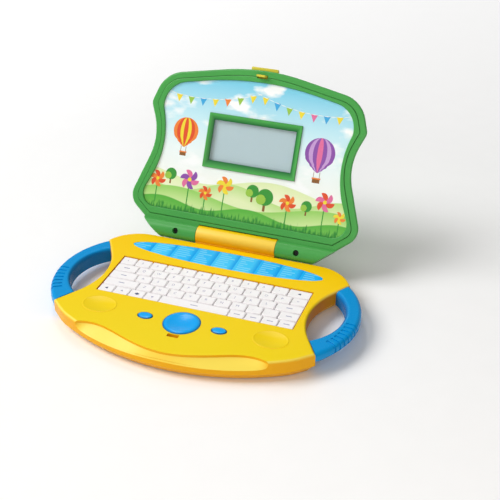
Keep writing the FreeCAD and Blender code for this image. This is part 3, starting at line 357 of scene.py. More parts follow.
FINISHES = {
    "yellow_plastic": yellow_abs(),
    # Glossy ABS of the handles, with painted shade on their insides
    "blue_plastic": moulded("blue moulded ABS", "#0095DA", "#008DD1", 0.26, 0.1, 0.18,
                            inner="#006CB2"),
    # Half-gloss ABS of the lid, with a visible grain
    "green_plastic": moulded("green moulded ABS", "#4BA34E", "#439A47", 0.34, 0.12, 0.35),
    # Satin keys, nearly white and hardly shining
    "white_key": moulded("white satin key plastic", "#F8F5F7", "#F3F0F2", 0.45, 0.08),
    # Dull plate that gives the gaps between the keys their warm tone
    "grey_plastic": moulded("beige guide plastic", "#E4D9C4", "#DCD0BA", 0.55, 0.1),
    "printed_strip": strip_print(),
    "printed_sheet": landscape_print(),
    "display_glass": display_glass(),
    "clear_window": clear_window(),
    # Inside and underneath: laminate with a half gloss, dull rubber, dark lacquer and printed film
    "circuit_board": moulded("green board laminate", "#1B5E3A", "#195636", 0.4, 0.1),
    "rubber_sheet": moulded("grey silicone sheet", "#B9B7B2", "#AEACA7", 0.7, 0.1),
    "rubber_foot": moulded("black rubber", "#232324", "#1B1B1C", 0.75, 0.3),
    "speaker_metal": moulded("black lacquered steel", "#2A2A2C", "#202022", 0.4, 0.1),
    "cell_jacket": moulded("printed cell jacket", "#3B4A57", "#33424E", 0.35, 0.05),
    # Screws darkened to near black as painted shade, so that the knuckle holes they sit in read dark; this hides
    # the metal's own shine
    "steel": moulded("screw steel darkened as painted shade", "#3A3A3D", "#2E2E31", 0.4, 0.1),
}
# Polished pad and buttons with painted shade on their sides; pale latch; frame with painted shade towards the
# display
BRIGHT_BLUE = moulded("bright blue polished ABS", "#00A8F6", "#00A1EF", 0.22, 0.03, 0.3,
                      flank_shade="#00568E")
LEMON = moulded("lemon moulded ABS", "#D6C944", "#D0C23C", 0.35, 0.1)
FRAME_GREEN = moulded("green bevelled ABS", "#4DA651", "#459D4A", 0.38, 0.12, 0.2, slope_shade="#12602E")
OWN_FINISH = {"cursor_pad": BRIGHT_BLUE, "button_right": BRIGHT_BLUE, "button_left": BRIGHT_BLUE,
              "lid_latch": LEMON, "screen_bezel": FRAME_GREEN}


# Modelling helpers

CREASE = 40              # degrees past which an edge is sharp
LEVEL = 0.99             # height of a level face's normal


def start_piece():
    """Selects nothing, before a primitive is added."""
    bpy.ops.object.select_all(action="DESELECT")


def take_up(piece):
    """Selects one piece alone, as the active one."""
    start_piece()
    piece.select_set(True)
    bpy.context.view_layer.objects.active = piece


def pick(piece, kind, test):
    """In edit mode, selects only the vertices, edges or faces that pass a test."""
    bpy.ops.mesh.select_mode(type=kind)
    bpy.ops.mesh.select_all(action="DESELECT")
    mesh = bmesh.from_edit_mesh(piece.data)
    for item in {"VERT": mesh.verts, "EDGE": mesh.edges, "FACE": mesh.faces}[kind]:
        if test(item):
            item.select_set(True)
    bmesh.update_edit_mesh(piece.data)


def top(face):
    """Whether a face is level and looks up."""
    return face.normal.z > LEVEL


def underside(face):
    """Whether a face is level and looks down."""
    return face.normal.z < -LEVEL


def extrude(rise):
    """Extrudes the selected faces by a rise in metres, or down if it is negative."""
    bpy.ops.mesh.extrude_region_move(TRANSFORM_OT_translate={"value": (0, 0, rise)})


def apply_place():
    """Puts the selected pieces' place, turn and size into their meshes."""
    bpy.ops.object.transform_apply(location=True, rotation=True, scale=True)


def apply_modifier(piece, kind, **settings):
    """Adds a modifier with its settings and applies it."""
    bpy.context.view_layer.objects.active = piece
    modifier = piece.modifiers.new(kind.lower(), kind)
    for name, value in settings.items():
        setattr(modifier, name, value)
    bpy.ops.object.modifier_apply(modifier=modifier.name)


def round_edges(piece, width, segments, degrees):
    """Rounds the edges that turn by more than an angle, in degrees."""
    apply_modifier(piece, "BEVEL", width=width * MM, segments=segments, limit_method="ANGLE",
                   angle_limit=math.radians(degrees))


def turn_up_with_lid(piece):
    """Takes a piece modelled flat, x across and y up the lid, to the lid's place."""
    piece.rotation_euler.x = LID_TURN
    piece.location = HINGE
    apply_place()


def copy_to(piece, place, turn=(0, 0, 0)):
    """A copy with its own mesh, turned about the origin and moved by a vector."""
    take_up(piece)
    bpy.ops.object.duplicate()
    copy = bpy.context.object
    copy.location = place
    copy.rotation_euler = turn
    apply_place()
    return copy


def remove(piece):
    """Takes a pattern piece out again once its copies are made."""
    bpy.data.objects.remove(piece)


def join(pieces, name):
    """Several pieces as one, under a name."""
    start_piece()
    for piece in pieces:
        piece.select_set(True)
    bpy.context.view_layer.objects.active = pieces[0]
    if len(pieces) > 1:
        bpy.ops.object.join()
    pieces[0].name = name
    pieces[0].data.name = name
    return pieces[0]


def set_in(pattern, places, turn, name):
    """Copies of a pattern at several places, turned alike and joined; the pattern is removed."""
    made = [copy_to(pattern, place, (turn, 0, 0)) for place in places]
    remove(pattern)
    return join(made, name)


def both_sides(places):
    """Places on the right, and the same on the left."""
    return [(side * x, y) for x, y in places for side in (1, -1)]


def cylinder(radius, height, vertices):
    """A cylinder with its top at the origin, left in edit mode."""
    start_piece()
    bpy.ops.mesh.primitive_cylinder_add(vertices=vertices, radius=radius * MM, depth=height * MM,
                                        location=(0, 0, -height * MM / 2))
    apply_place()
    bpy.ops.object.mode_set(mode="EDIT")
    return bpy.context.object


def oval(length, depth, height, vertices):
    """An oval block with its top at the origin, left in edit mode with that top selected."""
    piece = cylinder(length / 2, height, vertices)
    bpy.ops.mesh.select_all(action="SELECT")
    bpy.ops.transform.resize(value=(1, depth / length, 1))
    pick(piece, "FACE", top)
    return piece


def smooth(piece, degrees):
    """Smooth shading with sharp edges kept."""
    take_up(piece)
    bpy.ops.object.shade_smooth_by_angle(angle=math.radians(degrees))


def paint(piece, material):
    """Gives a piece its one material."""
    piece.data.materials.clear()
    piece.data.materials.append(material)


def finish_of(node):
    """A node's own finish, or else the one of its slot."""
    return OWN_FINISH.get(node, FINISHES[SLOT_OF[node]])


def finish_piece(piece, node):
    """Smooths a piece and lets it stand for a CAD node, with that node's body and finish."""
    smooth(piece, CREASE)
    paint(piece, finish_of(node))
    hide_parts(node)
    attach(piece, BODY_OF[node])


def finish_extra(piece, body, slot):
    """Smooths a piece that stands for no node, with a body and a slot's finish."""
    smooth(piece, CREASE)
    paint(piece, FINISHES[slot])
    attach(piece, body)


for name, node in frame["nodes"].items():
    paint(node, finish_of(name))


# Keys: widths in key places, row by row from the back, with the space bar's as SPACE

SPACE = 4.37
KEY_ROWS = {
    "keys_row_1": (1,) * 11 + (1.45,),
    "keys_row_2": (1.45,) + (1,) * 11,
    "keys_row_3": (1.75,) + (1,) * 9 + (1.7,),
    "keys_row_4": (2.2,) + (1,) * 9 + (1.25,),
    "keys_row_5": (1,) * 4 + (SPACE,) + (1.02,) * 4,
}
LEGENDS = {
    "keys_row_1": "1234567890- ",
    "keys_row_2": " QWERTYUIOP=",
    "keys_row_3": " ASDFGHJKL ",
    "keys_row_4": " ZXCVBNM,. ",
    "keys_row_5": "         ",
}
# Plain shapes on the other keys: number of the key in its row, sides, half width, half height and
# turn in degrees, and whether it is printed dark; a bar is a square, turned and stretched
BAR = (4, 4.2, 0.75, 45)
KEY_MARKS = {
    "keys_row_1": ((11, 3, 2.2, 1.9, 90, True),),
    "keys_row_2": ((0, *BAR, False),),
    "keys_row_3": ((0, *BAR, False), (10, *BAR, False)),
    "keys_row_4": ((0, *BAR, False), (10, *BAR, False)),
    "keys_row_5": ((0, 3, 2.1, 2.0, 90, True), (1, 3, 1.7, 1.7, 0, False),
                   (2, 4, 2.6, 1.9, 0, True), (3, 3, 1.7, 1.7, 180, False),
                   (4, 4, 5.2, 0.7, 45, False), (5, *BAR, False), (6, *BAR, False),
                   (7, *BAR, False), (8, *BAR, False)),
}
KEY_GAP = 0.6
KEY_LEAN = 0.5
KEY_HEIGHT = 3.2
KEY_RIM = 1.6            # flat rim round a cap's dish
KEY_DISH = 0.2
KEY_ROUND = 0.45
KEY_ROUND_ANGLE = 30
KEY_STEM = 4.0
SPACE_STEM_X = 24.0
LEGEND_SIZE = 4.4
LEGEND_SHIFT = (-1.2, 0.2)       # from the middle of a key
LEGEND_INK = ink("lavender-grey legend ink", "#A3A2C0")
DARK_INK = ink("navy legend ink", "#3A4672")


def key_layout(row):
    """Each key of a row as (middle x, middle y, width, is it the space bar), in metres."""
    low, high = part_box(row)
    widths = KEY_ROWS[row]
    unit = (high.x - low.x + KEY_GAP * MM) / sum(widths)
    left = low.x - KEY_GAP * MM / 2
    places = []
    for width in widths:
        places.append((left + width * unit / 2, (low.y + high.y) / 2, width * unit - KEY_GAP * MM,
                       width == SPACE))
        left += width * unit
    return places


def key_cap(width, depth, stem_xs, stem_length):
    """One key with its top at the origin: a leaning cap, softly dished, on its stems."""
    start_piece()
    tall = KEY_HEIGHT * MM
    bpy.ops.mesh.primitive_cube_add(size=1, location=(0, 0, -tall / 2), scale=(width, depth, tall))
    cap = bpy.context.object
    apply_place()
    bpy.ops.object.mode_set(mode="EDIT")
    pick(cap, "FACE", top)
    lean = 2 * KEY_LEAN * MM
    bpy.ops.transform.resize(value=((width - lean) / width, (depth - lean) / depth, 1))
    bpy.ops.mesh.inset(thickness=KEY_RIM * MM)
    bpy.ops.transform.translate(value=(0, 0, -KEY_DISH * MM))
    half = KEY_STEM * MM / 2
    cuts = [((x + side * half, 0, 0), (1, 0, 0)) for x in stem_xs for side in (-1, 1)]
    cuts += [((0, side * half, 0), (0, 1, 0)) for side in (-1, 1)]
    for point, normal in cuts:
        pick(cap, "FACE", underside)
        bpy.ops.mesh.bisect(plane_co=point, plane_no=normal)

    def over_stem(face):
        middle = face.calc_center_median()
        return underside(face) and abs(middle.y) < half and any(
            abs(middle.x - x) < half for x in stem_xs)

    pick(cap, "FACE", over_stem)
    extrude(-stem_length)
    bpy.ops.object.mode_set(mode="OBJECT")
    round_edges(cap, KEY_ROUND, 2, KEY_ROUND_ANGLE)
    return cap


def keyboard():
    """All the keys, row by row, each width modelled once and copied to its places."""
    patterns = {}
    for row in KEY_ROWS:
        low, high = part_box(row)
        stem_length = high.z - low.z - KEY_HEIGHT * MM
        caps = {row: [], "space_bar": []}
        for x, y, width, wide in key_layout(row):
            shape = round(width / MM, 2)
            if shape not in patterns:
                stems = (-SPACE_STEM_X * MM, SPACE_STEM_X * MM) if wide else (0.0,)
                patterns[shape] = key_cap(width, high.y - low.y, stems, stem_length)
            caps["space_bar" if wide else row].append(copy_to(patterns[shape], (x, y, high.z)))
        for node, made in caps.items():
            if made:
                finish_piece(join(made, node + "_caps"), node)
    for pattern in patterns.values():
        remove(pattern)


def ink_shape(x, y, z, half_x, half_y, material, sides, turn):
    """A filled polygon of ink at a place, as wide and as high as given, in millimetres."""
    start_piece()
    bpy.ops.mesh.primitive_circle_add(vertices=sides, radius=1, fill_type="NGON",
                                      rotation=(0, 0, turn), location=(x * MM, y * MM, z * MM))
    shape = bpy.context.object
    bpy.ops.object.transform_apply(location=False, rotation=True, scale=False)
    shape.scale = (half_x * MM, half_y * MM, 1)
    apply_place()
    paint(shape, material)
    return shape


def letter_mark(letter, x, y, z):
    """A letter or digit printed on a key."""
    start_piece()
    bpy.ops.object.text_add(location=(x, y, z))
    mark = bpy.context.object
    mark.data.body = letter
    mark.data.size = LEGEND_SIZE * MM
    mark.data.extrude = LAYER * MM / 2
    mark.data.resolution_u = 3
    mark.data.align_x = "CENTER"
    mark.data.align_y = "CENTER"
    bpy.ops.object.convert(target="MESH")
    apply_place()
    paint(mark, LEGEND_INK)
    return mark


def legends():
    """Pale generic letters and digits in the keys' dishes, and plain shapes on the other keys."""
    for row, letters in LEGENDS.items():
        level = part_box(row)[1].z - KEY_DISH * MM
        keys = key_layout(row)
        made = {row: [], "space_bar": []}
        for (x, y, *_), letter in zip(keys, letters):
            if letter != " ":
                made[row].append(letter_mark(letter, x + LEGEND_SHIFT[0] * MM,
                                             y + LEGEND_SHIFT[1] * MM, level + LAYER * MM / 2))
        for number, sides, half_x, half_y, turn, dark in KEY_MARKS[row]:
            x, y, _, wide = keys[number]
            mark = ink_shape(x / MM, y / MM, level / MM + LAYER, half_x, half_y,
                             DARK_INK if dark else LEGEND_INK, sides, math.radians(turn))
            apply_modifier(mark, "SOLIDIFY", thickness=LAYER * MM)
            made["space_bar" if wide else row].append(mark)
        for node, marks in made.items():
            if marks:
                piece = join(marks, node + "_legends")
                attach(piece, BODY_OF[node])


keyboard()
legends()


# Screws: modelled once with a cross recess, in the places of the plain ones, and on the lid's back

HEAD_RADIUS = 2.8
HEAD_HEIGHT = 2.0
HEAD_ROUND = 0.6
HEAD_SIDES = 32
SHANK_RADIUS = 1.4
SHANK_STEPS = ((0.8, 1.0), (0.2, 0.3))   # share of the length, and of the width at its end
CROSS_INSET = 0.4        # from the flat of the head to the ends of the cross
CROSS_ARM = 0.85
CROSS_DEPTH = 1.1
KNUCKLE_HEAD = 5.0       # top of a knuckle screw's head, in front of the hinge axis
KNUCKLE_SHANK = 7.6
BASE_SCREWS = ((106.0, 58.0), (111.0, -55.0), (40.0, -85.0), (74.0, 72.5))
BACK_SCREWS = ((82.0, 37.0), (78.0, 130.0))
BACK_FIELD = -14.36      # floor of the lid's back panel, from the hinge axis
BACK_SHANK = 5.0
BACK_SINK = 0.2          # from the boss's top to the screw's
BOSS_RADIUS = 4.6
BOSS_HEIGHT = 0.8
BOSS_ROOT = 0.4          # part of the boss inside the cover
BOSS_WALL = 1.3
BOSS_ROUND = 0.2
BOSS_SIDES = 40


def cross_screw(shank):
    """A screw with the top of its head at the origin: rounded head, cross recess, pointed shank."""
    screw = cylinder(HEAD_RADIUS, HEAD_HEIGHT, HEAD_SIDES)
    pick(screw, "EDGE", lambda edge: min(vert.co.z for vert in edge.verts) > -HEAD_ROUND * MM)
    bpy.ops.mesh.bevel(offset=HEAD_ROUND * MM, segments=3, affect="EDGES")
    pick(screw, "FACE", top)
    bpy.ops.mesh.inset(thickness=CROSS_INSET * MM)
    flat = (HEAD_RADIUS - HEAD_ROUND - CROSS_INSET) * MM
    half = CROSS_ARM * MM / 2

    def inside(face):
        return top(face) and face.calc_center_median().xy.length < flat

    def on_cross(face):
        return inside(face) and min(map(abs, face.calc_center_median().xy)) < half

    for side in (-half, half):
        for point, normal in (((side, 0, 0), (1, 0, 0)), ((0, side, 0), (0, 1, 0))):
            pick(screw, "FACE", inside)
            bpy.ops.mesh.bisect(plane_co=point, plane_no=normal)
    pick(screw, "FACE", on_cross)
    extrude(-CROSS_DEPTH * MM)
    pick(screw, "FACE", underside)
    bpy.ops.mesh.inset(thickness=(HEAD_RADIUS - SHANK_RADIUS) * MM)
    for share, size in SHANK_STEPS:
        extrude(-share * shank * MM)
        bpy.ops.transform.resize(value=(size, size, 1))
    bpy.ops.object.mode_set(mode="OBJECT")
    return screw


def screw_boss():
    """A round boss with a shallow well for a screw's head, its top at the origin."""
    boss = cylinder(BOSS_RADIUS, BOSS_HEIGHT + BOSS_ROOT, BOSS_SIDES)
    pick(boss, "FACE", top)
    bpy.ops.mesh.inset(thickness=BOSS_WALL * MM)
    extrude(-BOSS_HEIGHT * MM)
    bpy.ops.object.mode_set(mode="OBJECT")
    round_edges(boss, BOSS_ROUND, 2, CREASE)
    return boss


def screws():
    """All the screws, and the bosses of the four on the lid's back."""
    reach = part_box("knuckle_screws")[1].x - HEAD_RADIUS * MM
    front = HINGE + LID_OUT * KNUCKLE_HEAD * MM
    places = [front + Vector((side * reach, 0, 0)) for side in (1, -1)]
    made = set_in(cross_screw(KNUCKLE_SHANK), places, LID_TURN, "knuckle_screws_cross")
    finish_piece(made, "knuckle_screws")
    low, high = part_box("base_screws")
    places = [on_deck(x, y) * Vector((1, 1, 0)) + Vector((0, 0, low.z))
              for x, y in both_sides(BASE_SCREWS)]
    shank = (high.z - low.z) / MM - HEAD_HEIGHT
    finish_piece(set_in(cross_screw(shank), places, math.pi, "base_screws_cross"), "base_screws")
    for pattern, height, name, slot in (
            (screw_boss(), BOSS_HEIGHT, "lid_back_bosses", "green_plastic"),
            (cross_screw(BACK_SHANK), BOSS_HEIGHT - BACK_SINK, "lid_back_screws", "steel")):
        level = HINGE + LID_OUT * (BACK_FIELD - height) * MM
        places = [level + Vector((x * MM, 0, 0)) + LID_UP * y * MM
                  for x, y in both_sides(BACK_SCREWS)]
        finish_extra(set_in(pattern, places, LID_TURN + math.pi, name), "lid", slot)


screws()


# Moulded pieces whose sharp edges are rounded, as a mould rounds them

SOFT_EDGES = {"lid_latch": 0.5, "hinge_barrel": 0.6, "cursor_pad": 1.5}  # widths
SOFT_ROUND_ANGLE = 35
MERGE = 0.004            # corners nearer than this are one
FLAT_ANGLE = 0.5         # degrees under which triangles make one face


def merge():
    """In edit mode, makes one corner of those that lie together."""
    bpy.ops.mesh.select_all(action="SELECT")
    bpy.ops.mesh.remove_doubles(threshold=MERGE * MM)


def softened(node, width):
    """A copy of a node, its loose triangles merged into whole faces and its edges rounded."""
    take_up(frame["nodes"][node])
    bpy.ops.object.duplicate()
    piece = bpy.context.object
    piece.name = node + "_soft"
    bpy.ops.mesh.customdata_custom_splitnormals_clear()
    bpy.ops.object.mode_set(mode="EDIT")
    merge()
    bpy.ops.mesh.dissolve_limited(angle_limit=math.radians(FLAT_ANGLE))
    bpy.ops.object.mode_set(mode="OBJECT")
    round_edges(piece, width, 3, SOFT_ROUND_ANGLE)
    bpy.ops.object.mode_set(mode="EDIT")
    merge()
    bpy.ops.mesh.dissolve_degenerate(threshold=MERGE * MM)
    bpy.ops.object.mode_set(mode="OBJECT")
    finish_piece(piece, node)


for node, width in SOFT_EDGES.items():
    softened(node, width)


# Frame round the display

OPENING = (43.75, 77.3, 118.6)   # half width, lower and upper edges, up the lid
FRAME_RIM = 1.3          # flat rim outside the slope
FRAME_STEP = 1.0         # first inset of an opening, then drawn to its size
FRAME_SLOPE = 1.6        # fall of the slope towards the display
FRAME_ROUND = 0.35
FRAME_ROUND_ANGLE = 15
FRAME_CREASE = 10


def screen_frame():
    """A flat rim with a broad face that slopes in to the display."""
    corners = [vert.co - HINGE for vert in frame["nodes"]["screen_bezel"].data.vertices]
    half = max(corner.x for corner in corners)
    ups = [corner.dot(LID_UP) for corner in corners]
    outs = [corner.dot(LID_OUT) for corner in corners]
    size = Vector((2 * half, max(ups) - min(ups), max(outs) - min(outs)))
    middle = Vector((0, (max(ups) + min(ups)) / 2, (max(outs) + min(outs)) / 2))
    start_piece()
    bpy.ops.mesh.primitive_cube_add(size=1, location=middle, scale=size)
    piece = bpy.context.object
    apply_place()
    bpy.ops.object.mode_set(mode="EDIT")
    opening_half, foot, head = (length * MM for length in OPENING)
    for side, rims, fall in ((top, (FRAME_RIM, FRAME_STEP), FRAME_SLOPE),
                             (underside, (FRAME_STEP,), 0)):
        pick(piece, "FACE", side)
        for rim in rims:
            bpy.ops.mesh.inset(thickness=rim * MM)
        inner = size - Vector((2, 2, 0)) * sum(rims) * MM
        bpy.ops.transform.resize(value=(2 * opening_half / inner.x, (head - foot) / inner.y, 1),
                                 center_override=middle)
        bpy.ops.transform.translate(value=(0, (head + foot) / 2 - middle.y, -fall * MM))

    def in_opening(face):
        centre = face.calc_center_median()
        return (top(face) or underside(face)) and abs(centre.x) < MM and foot < centre.y < head

    pick(piece, "FACE", in_opening)
    bpy.ops.mesh.bridge_edge_loops()
    bpy.ops.object.mode_set(mode="OBJECT")
    round_edges(piece, FRAME_ROUND, 2, FRAME_ROUND_ANGLE)
    turn_up_with_lid(piece)
    piece.name = "screen_bezel_soft"
    finish_piece(piece, "screen_bezel")
    smooth(piece, FRAME_CREASE)


screen_frame()


# Oval buttons beside the cursor pad

BUTTON_LIP = 1.8         # lip that holds a button under the deck
BUTTON_LIP_HEIGHT = 1.4
BUTTON_SIDES = 64
# Steps in and up over the crown
BUTTON_CROWN = ((0.15, 0.45), (0.35, 0.35), (0.7, 0.22), (1.0, 0.14), (1.2, 0.06))


def oval_buttons():
    """A crowned oval cap on its lip, modelled once and copied to each side."""
    low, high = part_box("button_right")
    length, depth, tall = (high - low) / MM
    button = oval(length, depth, BUTTON_LIP_HEIGHT, BUTTON_SIDES)
    bpy.ops.mesh.inset(thickness=BUTTON_LIP * MM)
    rise = tall - BUTTON_LIP_HEIGHT - sum(up for way, up in BUTTON_CROWN)
    extrude(rise * MM)
    for way, up in BUTTON_CROWN:
        bpy.ops.mesh.inset(thickness=way * MM, depth=up * MM)
    bpy.ops.object.mode_set(mode="OBJECT")
    for node in ("button_right", "button_left"):
        low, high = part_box(node)
        middle = (low + high) / 2
        place = (middle.x, middle.y, low.z + BUTTON_LIP_HEIGHT * MM)
        finish_piece(join([copy_to(button, place)], node + "_crowned"), node)
    remove(button)


oval_buttons()


# Low oval rings moulded on the deck in front of the keyboard's ends

RING_PLACE = (85.0, -53.5)
RING_LENGTH = 34.0
RING_DEPTH = 27.0
RING_SIDES = 72
RING_WALL = 1.5
RING_HEIGHT = 0.2
RING_FLOOR = 0.1         # the ring's floor above the deck
RING_ROOT = 0.5          # part of the ring inside the cover
RING_ROUND = 0.045


def palm_rings():
    """An oval ring with a low floor on each side, its edges rounded."""
    ring = oval(RING_LENGTH, RING_DEPTH, RING_HEIGHT + RING_ROOT, RING_SIDES)
    bpy.ops.mesh.inset(thickness=RING_WALL * MM)
    extrude((RING_FLOOR - RING_HEIGHT) * MM)
    bpy.ops.object.mode_set(mode="OBJECT")
    round_edges(ring, RING_ROUND, 2, CREASE)
    places = [on_deck(x, y, RING_HEIGHT) for x, y in both_sides((RING_PLACE,))]
    finish_extra(set_in(ring, places, 0, "palm_rings"), "base", "yellow_plastic")


palm_rings()


# Motifs printed on the lid's sheet: drawn flat, x across and y up the lid, then turned up with it

INKS = {name: ink(name + " ink", colour) for name, colour in {
    "red": "#E4532E", "orange": "#F3883A", "pink": "#E673A4", "purple": "#8F55AE",
    "lilac": "#C9A0DA", "yellow": "#F3DF3C", "lime": "#9CCB4C", "leaf": "#3C9A3B",
    "brown": "#8C5E31", "blue": "#43ACE4", "white": "#FBFBF7"}.items()}
GORE_SIDES = 48          # corners of a gore, a sail, a hub and a tree's crown
SAIL_SIDES = 20
HUB_SIDES = 16
CROWN_SIDES = 28
# Balloons, in radii: drops below the middle from which a gore narrows, and by how much
GORE_TAPER = ((0.15, 0.98), (0.4, 0.92), (0.6, 0.85), (0.78, 0.78), (0.9, 0.72))
NECK_START = 0.15
NECK_STRETCH = 1.3
NECK_FOOT = 1.26
ROPE = 0.5               # width in millimetres
ROPE_PLACE = (0.2, 0.14, 0.42)   # to the side, below the neck, and length
# Basket and its rim: place below the neck, width and height
BASKET = ((0.48, 0.5, 0.34, "brown"), (0.36, 0.58, 0.09, "orange"))
STALK = 1.1
SAILS = 6
HUB = 0.2                # share of a pinwheel's radius
FLAG = (4.1, 5.2)        # half width and half height, before the triangle is turned
FLAG_DROP = 2.6
THREAD = 0.35
THREAD_LAP = 0.4
TRUNK = (0.3, 1.4)       # width and height, in radii of the tree
CROWNS = ((0, 0, 1.0), (-0.5, -0.35, 0.6), (0.35, 0.3, 0.5))     # place and size, in radii

# The picture: places, sizes and colours
BALLOONS = (
    (-73, 103, 13.5, ((1.0, "orange"), (0.72, "red"), (0.44, "yellow"), (0.17, "red"))),
    (71, 101, 15.5, ((1.0, "purple"), (0.74, "lilac"), (0.46, "purple"), (0.18, "pink"))),
)
BUNTINGS = (
    ((-92, 140), (0, 150), 6, ("yellow", "lime", "blue", "yellow", "orange", "lime", "yellow")),
    ((0, 150), (92, 140), 6, ("yellow", "blue", "lime", "yellow", "pink", "blue", "yellow")),
)
PINWHEELS = (
    (-96, 50, 9.0, ("red", "orange"), 24), (-61, 54, 10.5, ("pink", "purple"), 27),
    (-42, 43, 7.5, ("red", "orange"), 18), (-22, 54, 9.5, ("orange", "yellow"), 27),
    (46, 47, 9.0, ("red", "orange"), 22), (84, 54, 10.0, ("red", "pink"), 28),
    (101, 41, 6.5, ("orange", "yellow"), 17),
)
TREES = ((8, 53, 6.5), (22, 49, 8.5), (66, 47, 5.5), (-82, 57, 6.0))
TREE_COLOURS = ("leaf", "lime")


def flat_shape(x, y, half_x, half_y, level, colour, sides, turn=0.0):
    """A shape of ink on the sheet, on a given layer."""
    return ink_shape(x, y, SHEET_FACE + level * LAYER, half_x, half_y, INKS[colour], sides, turn)


def stroke(x, y, width, height, level, colour):
    """An upright bar of ink."""
    reach = math.sqrt(0.5)
    return flat_shape(x, y, width / 2 / reach, height / 2 / reach, level, colour, 4, math.pi / 4)


def balloon(x, y, radius, gores):
    """A hot-air balloon: gores of several colours, narrowing to a neck, and a basket on ropes."""
    made = []
    neck = y - NECK_START * radius
    for level, (share, colour) in enumerate(gores, 1):
        gore = flat_shape(x, y, radius * share, radius, level, colour, GORE_SIDES)
        bpy.ops.object.mode_set(mode="EDIT")
        for drop, squeeze in GORE_TAPER:
            pick(gore, "VERT", lambda vert: vert.co.y < (y - drop * radius) * MM)
            bpy.ops.transform.resize(value=(squeeze, 1, 1), center_override=(x * MM, y * MM, 0))
        pick(gore, "VERT", lambda vert: vert.co.y < neck * MM)
        bpy.ops.transform.resize(value=(1, NECK_STRETCH, 1),
                                 center_override=(x * MM, neck * MM, 0))
        bpy.ops.object.mode_set(mode="OBJECT")
        made.append(gore)
    foot = y - NECK_FOOT * radius
    aside, below, length = (share * radius for share in ROPE_PLACE)
    for side in (-1, 1):
        made.append(stroke(x + side * aside, foot - below, ROPE, length, 1, "brown"))
    for level, (below, width, height, colour) in enumerate(BASKET, 2):
        made.append(stroke(x, foot - below * radius, width * radius, height * radius, level, colour))
    return made


def pinwheel(x, y, radius, colours, stalk):
    """A toy windmill on a stalk: half-round sails round a hub."""
    made = [stroke(x, y - stalk / 2, STALK, stalk, 1, "leaf")]
    sail = flat_shape(radius / 2, 0, radius / 2, radius / 2, 2, colours[0], SAIL_SIDES)
    bpy.ops.object.mode_set(mode="EDIT")
    bpy.ops.mesh.select_all(action="SELECT")
    bpy.ops.mesh.bisect(plane_co=(0, 0, 0), plane_no=(0, 1, 0), clear_outer=True)
    bpy.ops.object.mode_set(mode="OBJECT")
    for number in range(SAILS):
        place = (x * MM, y * MM, number % 2 * LAYER * MM)
        copy = copy_to(sail, place, (0, 0, number * 2 * math.pi / SAILS))
        paint(copy, INKS[colours[number % 2]])
        made.append(copy)
    remove(sail)
    made.append(flat_shape(x, y, HUB * radius, HUB * radius, 4, "yellow", HUB_SIDES))
    return made


def bunting(start, end, sag, flags):
    """A string of pennants hung between two points."""
    made = []
    span = Vector(end) - Vector(start)
    steps = len(flags) * 2
    for i in range(steps + 1):
        share = i / steps
        x = start[0] + span.x * share
        y = start[1] + span.y * share - 4 * sag * share * (1 - share)
        if i % 2:
            made.append(flat_shape(x, y - FLAG_DROP, *FLAG, 2, flags[i // 2], 3, math.pi / 3))
        slope = (span.y - 4 * sag * (1 - 2 * share)) / span.x
        thread = flat_shape(0, 0, span.x / steps / 2 + THREAD_LAP, THREAD, 3, "white", 4)
        thread.rotation_euler.z = math.atan(slope)
        thread.location = (x * MM, y * MM, 0)
        apply_place()
        made.append(thread)
    return made


def round_tree(x, y, radius):
    """A trunk and three overlapping crowns."""
    width, height = TRUNK
    made = [stroke(x, y - radius, width * radius, height * radius, 1, "brown")]
    for level, (dx, dy, share) in enumerate(CROWNS, 2):
        made.append(flat_shape(x + dx * radius, y + dy * radius, share * radius, share * radius,
                               level, TREE_COLOURS[level % 2], CROWN_SIDES))
    return made


def printed_motifs():
    """The whole picture on the sheet, as one thin layer of ink that moves with the lid."""
    made = []
    for draw, places in ((balloon, BALLOONS), (bunting, BUNTINGS), (pinwheel, PINWHEELS),
                         (round_tree, TREES)):
        for place in places:
            made += draw(*place)
    picture = join(made, "printed_motifs")
    apply_modifier(picture, "SOLIDIFY", thickness=LAYER * MM)
    turn_up_with_lid(picture)
    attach(picture, "lid")


printed_motifs()


# Floor, lights and camera

FLOOR_SIZE = 60          # metres, so that its edge is far off
FLOOR_GRAIN = 0.025      # metres
GLOW_FROM = 0.4          # metres from the toy, over which the floor brightens
GLOW_TO = 3.0
GLOW = 0.66
SKY_LIGHT = 0.3          # the sky as it lights the toy, and as it is seen
SKY_SEEN = 0.95
# Softboxes: name, place, height of the point that it faces, size, power and colour
LIGHTS = (
    ("high left softbox", (-2.5, -0.82, 2.8), 0.05, 2.0, 110, "#FFFFFF"),
    ("front softbox", (0.5, -1.4, 0.7), 0.08, 0.9, 7.5, "#FFF4E6"),
    ("rear softbox", (-0.65, 1.02, 1.45), 0.05, 0.25, 1.6, "#FFFFFF"),
    ("high rear softbox", (-0.62, 0.72, 1.75), 0.05, 0.3, 3, "#FFFFFF"),
)
# Camera, from the photograph: where it stands from the middle of the keyboard on the deck
CAMERA_PLACE = (348.6, -842.9, 603.2)
CAMERA_AZIMUTH = 19.74
CAMERA_ELEVATION = 31.46
CAMERA_LENS = 82.15
CAMERA_SENSOR = 36


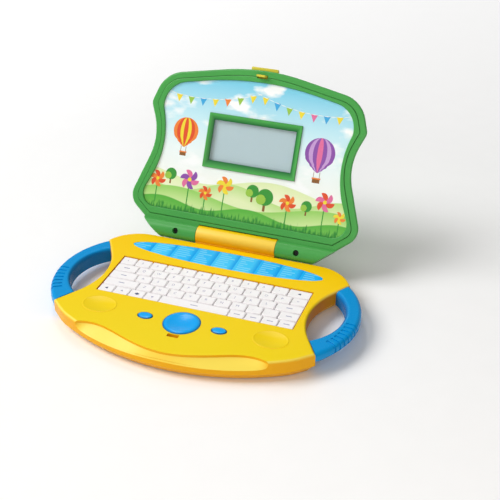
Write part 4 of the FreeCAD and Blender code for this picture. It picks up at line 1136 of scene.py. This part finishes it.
def pale_floor():
    """A matt white floor that brightens away from the toy, towards the sky's white."""
    start_piece()
    bpy.ops.mesh.primitive_plane_add(size=FLOOR_SIZE)
    floor = bpy.context.object
    floor.name = "floor"
    material, tree, place = new_material("pale floor")
    grain = add(tree, "TexNoise", {"Vector": place, "Scale": 1 / FLOOR_GRAIN})
    tone = add(tree, "Mix", {SHARE: grain, FIRST: linear("#F8F8F8"), SECOND: linear("#FBFBFB")},
               data_type="RGBA")
    away = add(tree, "VectorMath", {0: place}, operation="LENGTH").outputs["Value"]
    glow = add(tree, "MapRange", {"Value": away, "From Min": GLOW_FROM, "From Max": GLOW_TO,
                                  "To Max": GLOW})
    shader = add(tree, "BsdfPrincipled", {
        "Base Color": tone, "Roughness": 0.9, "Emission Color": linear("#FFFFFF"),
        "Emission Strength": glow})
    add(tree, "OutputMaterial", {"Surface": shader})
    paint(floor, material)


def white_sky():
    """A white sky that lights the toy less than it shows."""
    world = bpy.data.worlds.new("white studio")
    bpy.context.scene.world = world
    world.use_nodes = True
    tree = world.node_tree
    tree.nodes.clear()
    seen = add(tree, "LightPath").outputs["Is Camera Ray"]
    strength = add(tree, "MapRange", {"Value": seen, "To Min": SKY_LIGHT, "To Max": SKY_SEEN})
    sky = add(tree, "Background", {"Color": linear("#FFFFFF"), "Strength": strength})
    add(tree, "OutputWorld", {"Surface": sky})


def softboxes():
    """A large softbox high on the left, a weak one in front, and two small ones at the back for the
    light along edges."""
    for name, place, height, size, power, colour in LIGHTS:
        light = bpy.data.lights.new(name, "AREA")
        light.size = size
        light.energy = power
        light.color = linear(colour)[:3]
        holder = bpy.data.objects.new(name, light)
        bpy.context.scene.collection.objects.link(holder)
        holder.location = place
        aim = Vector((0, 0, height)) - Vector(place)
        holder.rotation_euler = aim.to_track_quat("-Z", "Y").to_euler()


def photo_camera():
    """The camera at the photograph's place, angle and lens."""
    lens = bpy.data.cameras.new("camera")
    lens.lens = CAMERA_LENS
    lens.sensor_width = CAMERA_SENSOR
    camera = bpy.data.objects.new("camera", lens)
    bpy.context.scene.collection.objects.link(camera)
    camera.location = on_deck(*CAMERA_PLACE)
    camera.rotation_euler = (math.radians(90 - CAMERA_ELEVATION), 0, math.radians(CAMERA_AZIMUTH))
    bpy.context.scene.camera = camera


pale_floor()
white_sky()
softboxes()
photo_camera()
bpy.context.scene.view_settings.view_transform = "Standard"
